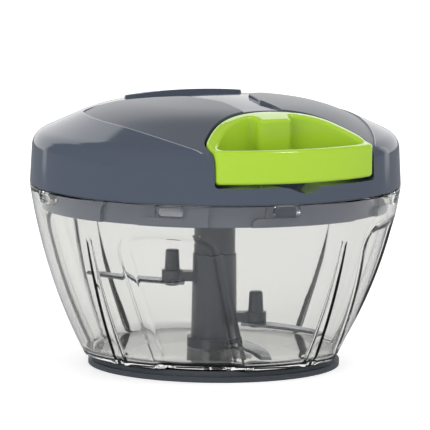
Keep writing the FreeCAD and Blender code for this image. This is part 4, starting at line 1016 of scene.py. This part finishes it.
def plastic(name, dark, light, rough_low, rough_high, grain=900.0, depth=0.00002, coat=0.0, scatter=0.0):
    """Moulded plastic: a faint drift of colour, uneven gloss and a fine grain."""
    tree, shader = material(name)
    fine = object_noise(tree, grain, 2.0)
    tint(tree, shader, object_noise(tree, 22.0), dark, light)
    put(tree, shader, {
        "Roughness": spread(tree, fine, rough_low, rough_high),
        "Coat Weight": coat, "Coat Roughness": 0.04, "Subsurface Weight": scatter,
        "Subsurface Radius": (0.004, 0.004, 0.002), "Subsurface Scale": 0.3,
    })
    bump(tree, shader, fine, 0.25, depth)


def metal(name, colour, rough_low, rough_high, stretch):
    """Brushed metal: streaks along the direction that isn't stretched."""
    tree, shader = material(name)
    streaks = object_noise(tree, 600.0, 4.0, stretch)
    tint(tree, shader, streaks, [value * 0.86 for value in colour], colour)
    put(tree, shader, {"Roughness": spread(tree, streaks, rough_low, rough_high), "Metallic": 1.0})
    bump(tree, shader, streaks, 0.15, 0.00001)


def smoky_clear(name):
    """Clear plastic with a warm grey tint and the faint waviness of moulding."""
    tree, shader = material(name)
    wave = object_noise(tree, 45.0, 2.0)
    fine = object_noise(tree, 500.0, 2.0)
    tint(tree, shader, wave, (0.88, 0.88, 0.862), (0.915, 0.915, 0.897))
    put(tree, shader, {
        "Roughness": spread(tree, fine, 0.015, 0.035), "Transmission Weight": 1.0, "IOR": 1.49,
    })
    bump(tree, shader, wave, 0.06, 0.0003)


def cord_cloth(name):
    """Braided cord: diagonal waves crossing each other."""
    tree, shader = material(name)
    place = add(tree, "TexCoord", {})
    inputs = {"Vector": place.outputs["Object"], "Scale": 500.0, "Distortion": 1.0}
    braid = add(tree, "TexWave", inputs, bands_direction="DIAGONAL").outputs["Fac"]
    tint(tree, shader, braid, (0.62, 0.62, 0.58), (0.85, 0.85, 0.82))
    put(tree, shader, {"Roughness": 0.75, "Sheen Weight": 0.3})
    bump(tree, shader, braid, 0.6, 0.0001)


plastic("housing_gloss", (0.064, 0.078, 0.106), (0.069, 0.084, 0.114), 0.07, 0.11,
        grain=160.0, depth=0.000004, coat=0.08)
# A lighter grey for the band along the sunk wings' edge: a painted highlight.
plastic("petal_painted_highlight", (0.24, 0.26, 0.29), (0.28, 0.30, 0.33), 0.10, 0.16, depth=0.000004)
plastic("petal_satin", (0.080, 0.092, 0.114), (0.088, 0.100, 0.122), 0.28, 0.295,
        grain=1200.0, depth=0.0000005)
plastic("base_grey", (0.155, 0.175, 0.23), (0.175, 0.197, 0.255), 0.14, 0.2, depth=0.00001)
plastic("shaft_grey", (0.054, 0.065, 0.086), (0.064, 0.076, 0.099), 0.28, 0.31, grain=500.0, depth=0.000002)
plastic("lime", (0.355, 0.565, 0.030), (0.39, 0.60, 0.038), 0.10, 0.16,
        grain=240.0, depth=0.000004, coat=1.0, scatter=0.12)
plastic("white_plastic", (0.68, 0.68, 0.65), (0.76, 0.76, 0.73), 0.35, 0.5)
plastic("ring_rubber", (0.045, 0.052, 0.063), (0.060, 0.068, 0.082), 0.34, 0.5, grain=700.0, depth=0.00005)
metal("blade_steel", (0.26, 0.28, 0.31), 0.16, 0.32, (1, 0.06, 1))
metal("pin_steel", (0.66, 0.66, 0.66), 0.14, 0.26, (1, 1, 0.05))
metal("dark_steel", (0.34, 0.35, 0.37), 0.2, 0.4, (1, 1, 1))
smoky_clear("clear")
cord_cloth("cord")


def dress(piece, *looks):
    """Gives an object its materials by their names, in the order of its material slots."""
    piece.data.materials.clear()
    for look in looks:
        piece.data.materials.append(made_looks[look])


dress(bowl, "clear")
dress(housing, "housing_gloss", "petal_satin", "petal_painted_highlight")
mark_petals(housing.data)
dress(handle, "lime")
dress(lid_base, "base_grey")
for cord_piece in (winding, string_lead, string_run):
    dress(cord_piece, "cord")

CAD_LOOKS = (
    ("ring_rubber", "base_ring"),
    ("white_plastic", "hub_bearing", "spool", "spool_cover"),
    ("shaft_grey", "drive_hub", "blade_shaft", "blade_pegs"),
    ("blade_steel", "upper_blade", "middle_blade", "lower_blade"),
    ("pin_steel", "bowl_pin", "string_eyelet", "spool_axle"),
    ("dark_steel", "lid_screws", "hub_screws", "spool_washer", "retaining_ring", "power_spring",
     "string_stopper"),
)
for look, *nodes in CAD_LOOKS:
    for node in nodes:
        dress(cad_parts[node], look)


# %% [markdown]
# ## Floor, light and camera

# %%
CAMERA_AZIMUTH = 28.5


def reckon(tree, operation, first, second=0.5, clamp=False):
    """One step of arithmetic in a node tree, between numbers or outputs."""
    return add(tree, "Math", {0: first, 1: second}, operation=operation, use_clamp=clamp).outputs[0]


def make_floor():
    """A plain pale floor that reads as white paper. It is lifted a little for what looks straight at it, so
    that only the contact shadow stays, and in reflections it shows as a flat dark grey glow, a painted
    reflection."""
    work = bmesh.new()
    bmesh.ops.create_grid(work, x_segments=8, y_segments=8, size=4.0)
    made = from_bmesh("floor", work)
    tree, shader = material("floor_white")
    ray = add(tree, "LightPath", {}).outputs
    tint(tree, shader, object_noise(tree, 3.0), (0.90, 0.90, 0.90), (0.92, 0.92, 0.92))
    seen = reckon(tree, "MULTIPLY", ray["Is Camera Ray"], 0.40)
    through = reckon(tree, "MULTIPLY", ray["Is Transmission Ray"], 0.10)
    put(tree, shader, {
        "Emission Strength": reckon(tree, "ADD", seen, through),
        "Emission Color": (1.0, 1.0, 1.0, 1), "Roughness": 0.7, "Specular IOR Level": 0.1,
    })
    # In glossy rays the floor is swapped for a flat dark grey glow: a painted reflection.
    painted_dark_reflection = add(tree, "Emission", {"Color": (0.26, 0.27, 0.28, 1)})
    mix = add(tree, "MixShader", {1: shader.outputs["BSDF"], 2: painted_dark_reflection.outputs["Emission"]})
    put(tree, mix, {0: reckon(tree, "SUBTRACT", ray["Is Glossy Ray"], ray["Is Transmission Ray"], True)})
    put(tree, tree.nodes["Material Output"], {"Surface": mix.outputs["Shader"]})
    dress(made, "floor_white")


def make_world():
    """A white backdrop behind the object and a dark room, which show in reflections. Matt surfaces are lit
    by a white sky that is a little brighter near the horizon."""
    world = bpy.data.worlds.new("studio")
    bpy.context.scene.world = world
    world.use_nodes = True
    tree = world.node_tree

    def calculate(*arguments):
        return reckon(tree, *arguments)

    place = add(tree, "TexCoord", {})
    turn = {"Vector": place.outputs["Generated"], "Angle": math.radians(CAMERA_AZIMUTH)}
    spin = add(tree, "VectorRotate", turn, rotation_type="Z_AXIS")
    way = add(tree, "SeparateXYZ", {"Vector": spin.outputs["Vector"]}).outputs
    height = calculate("MULTIPLY", calculate("ARCSINE", way["Z"]), 180 / math.pi)
    aside = calculate("MULTIPLY", calculate("ARCTAN2", way["X"], way["Y"]), 180 / math.pi)
    distance = calculate("ABSOLUTE", aside)

    def box(value, low, high, soft):
        rise = calculate("DIVIDE", calculate("SUBTRACT", value, low), soft, True)
        fall = calculate("DIVIDE", calculate("SUBTRACT", high, value), soft, True)
        return calculate("MULTIPLY", rise, fall)

    backdrop = calculate("MULTIPLY", box(height, -20.0, 41.0, 1.5), box(distance, -5.0, 48.0, 6.0))
    shine = calculate("MAXIMUM", calculate("MULTIPLY", backdrop, 1.15), 0.14)
    even = calculate("SUBTRACT", 1.60, calculate("MULTIPLY", way["Z"], 1.05))
    ray = add(tree, "LightPath", {}).outputs
    room = add(tree, "Mix", {"A": even, "B": shine}, data_type="FLOAT")
    direct = calculate("SUBTRACT", 1.0, ray["Diffuse Depth"], True)
    put(tree, room, {"Factor": calculate("MULTIPLY", ray["Is Glossy Ray"], direct)})
    put(tree, tree.nodes["Background"], {"Strength": room.outputs["Result"], "Color": (1.0, 1.0, 1.0, 1)})


def area_light(name, azimuth, elevation, distance, size, power, shows=True):
    """A softbox, placed by degrees to the right of the camera and above the floor. It may show in
    reflections or only give light."""
    turn, lift = math.radians(azimuth - CAMERA_AZIMUTH), math.radians(elevation)
    place = Vector((*on_circle(math.cos(lift), turn - math.pi / 2), math.sin(lift))) * distance
    data = bpy.data.lights.new(name, "AREA")
    data.shape = "RECTANGLE"
    data.size, data.size_y = size
    data.energy = power
    made = new_object(name, data)
    made.location = place
    made.visible_glossy = shows
    made.rotation_mode = "QUATERNION"
    made.rotation_quaternion = (Vector((0, 0, 0.07)) - place).to_track_quat("-Z", "Y")


def make_camera():
    """The photo's camera: it stands 28.5 degrees to the handle's left and looks slightly down."""
    azimuth, pitch, roll = math.radians(CAMERA_AZIMUTH), math.radians(7.42), math.radians(0.56)
    distance, height = 1.4732, 0.2441
    focal_pixels, frame_pixels = 4231.9, 430
    data = bpy.data.cameras.new("camera")
    data.sensor_width = 36.0
    data.lens = data.sensor_width * focal_pixels / frame_pixels
    data.clip_start, data.clip_end = 0.1, 20.0
    made = new_object("camera", data)
    made.location = (-distance * math.sin(azimuth), -distance * math.cos(azimuth), height)
    ahead = Vector((*on_circle(math.cos(pitch), math.pi / 2 - azimuth), -math.sin(pitch)))
    side = Vector((math.cos(azimuth), -math.sin(azimuth), 0))
    up = side.cross(ahead)
    right = side * math.cos(roll) + up * math.sin(roll)
    above = up * math.cos(roll) - side * math.sin(roll)
    made.rotation_mode = "QUATERNION"
    made.rotation_quaternion = Matrix((right, above, -ahead)).transposed().to_quaternion()
    bpy.context.scene.camera = made


make_floor()
make_world()
make_camera()
area_light("key", 60.0, 55.0, 1.3, (0.22, 0.16), 1.8)
area_light("fill", -35.0, 14.0, 2.4, (1.2, 0.9), 14.0, shows=False)
area_light("strip_right", 131.0, 8.0, 0.9, (0.12, 0.5), 0.13)
area_light("strip_left", -130.0, 8.0, 0.9, (0.10, 0.5), 0.1)
bpy.context.scene.view_settings.view_transform = "Standard"
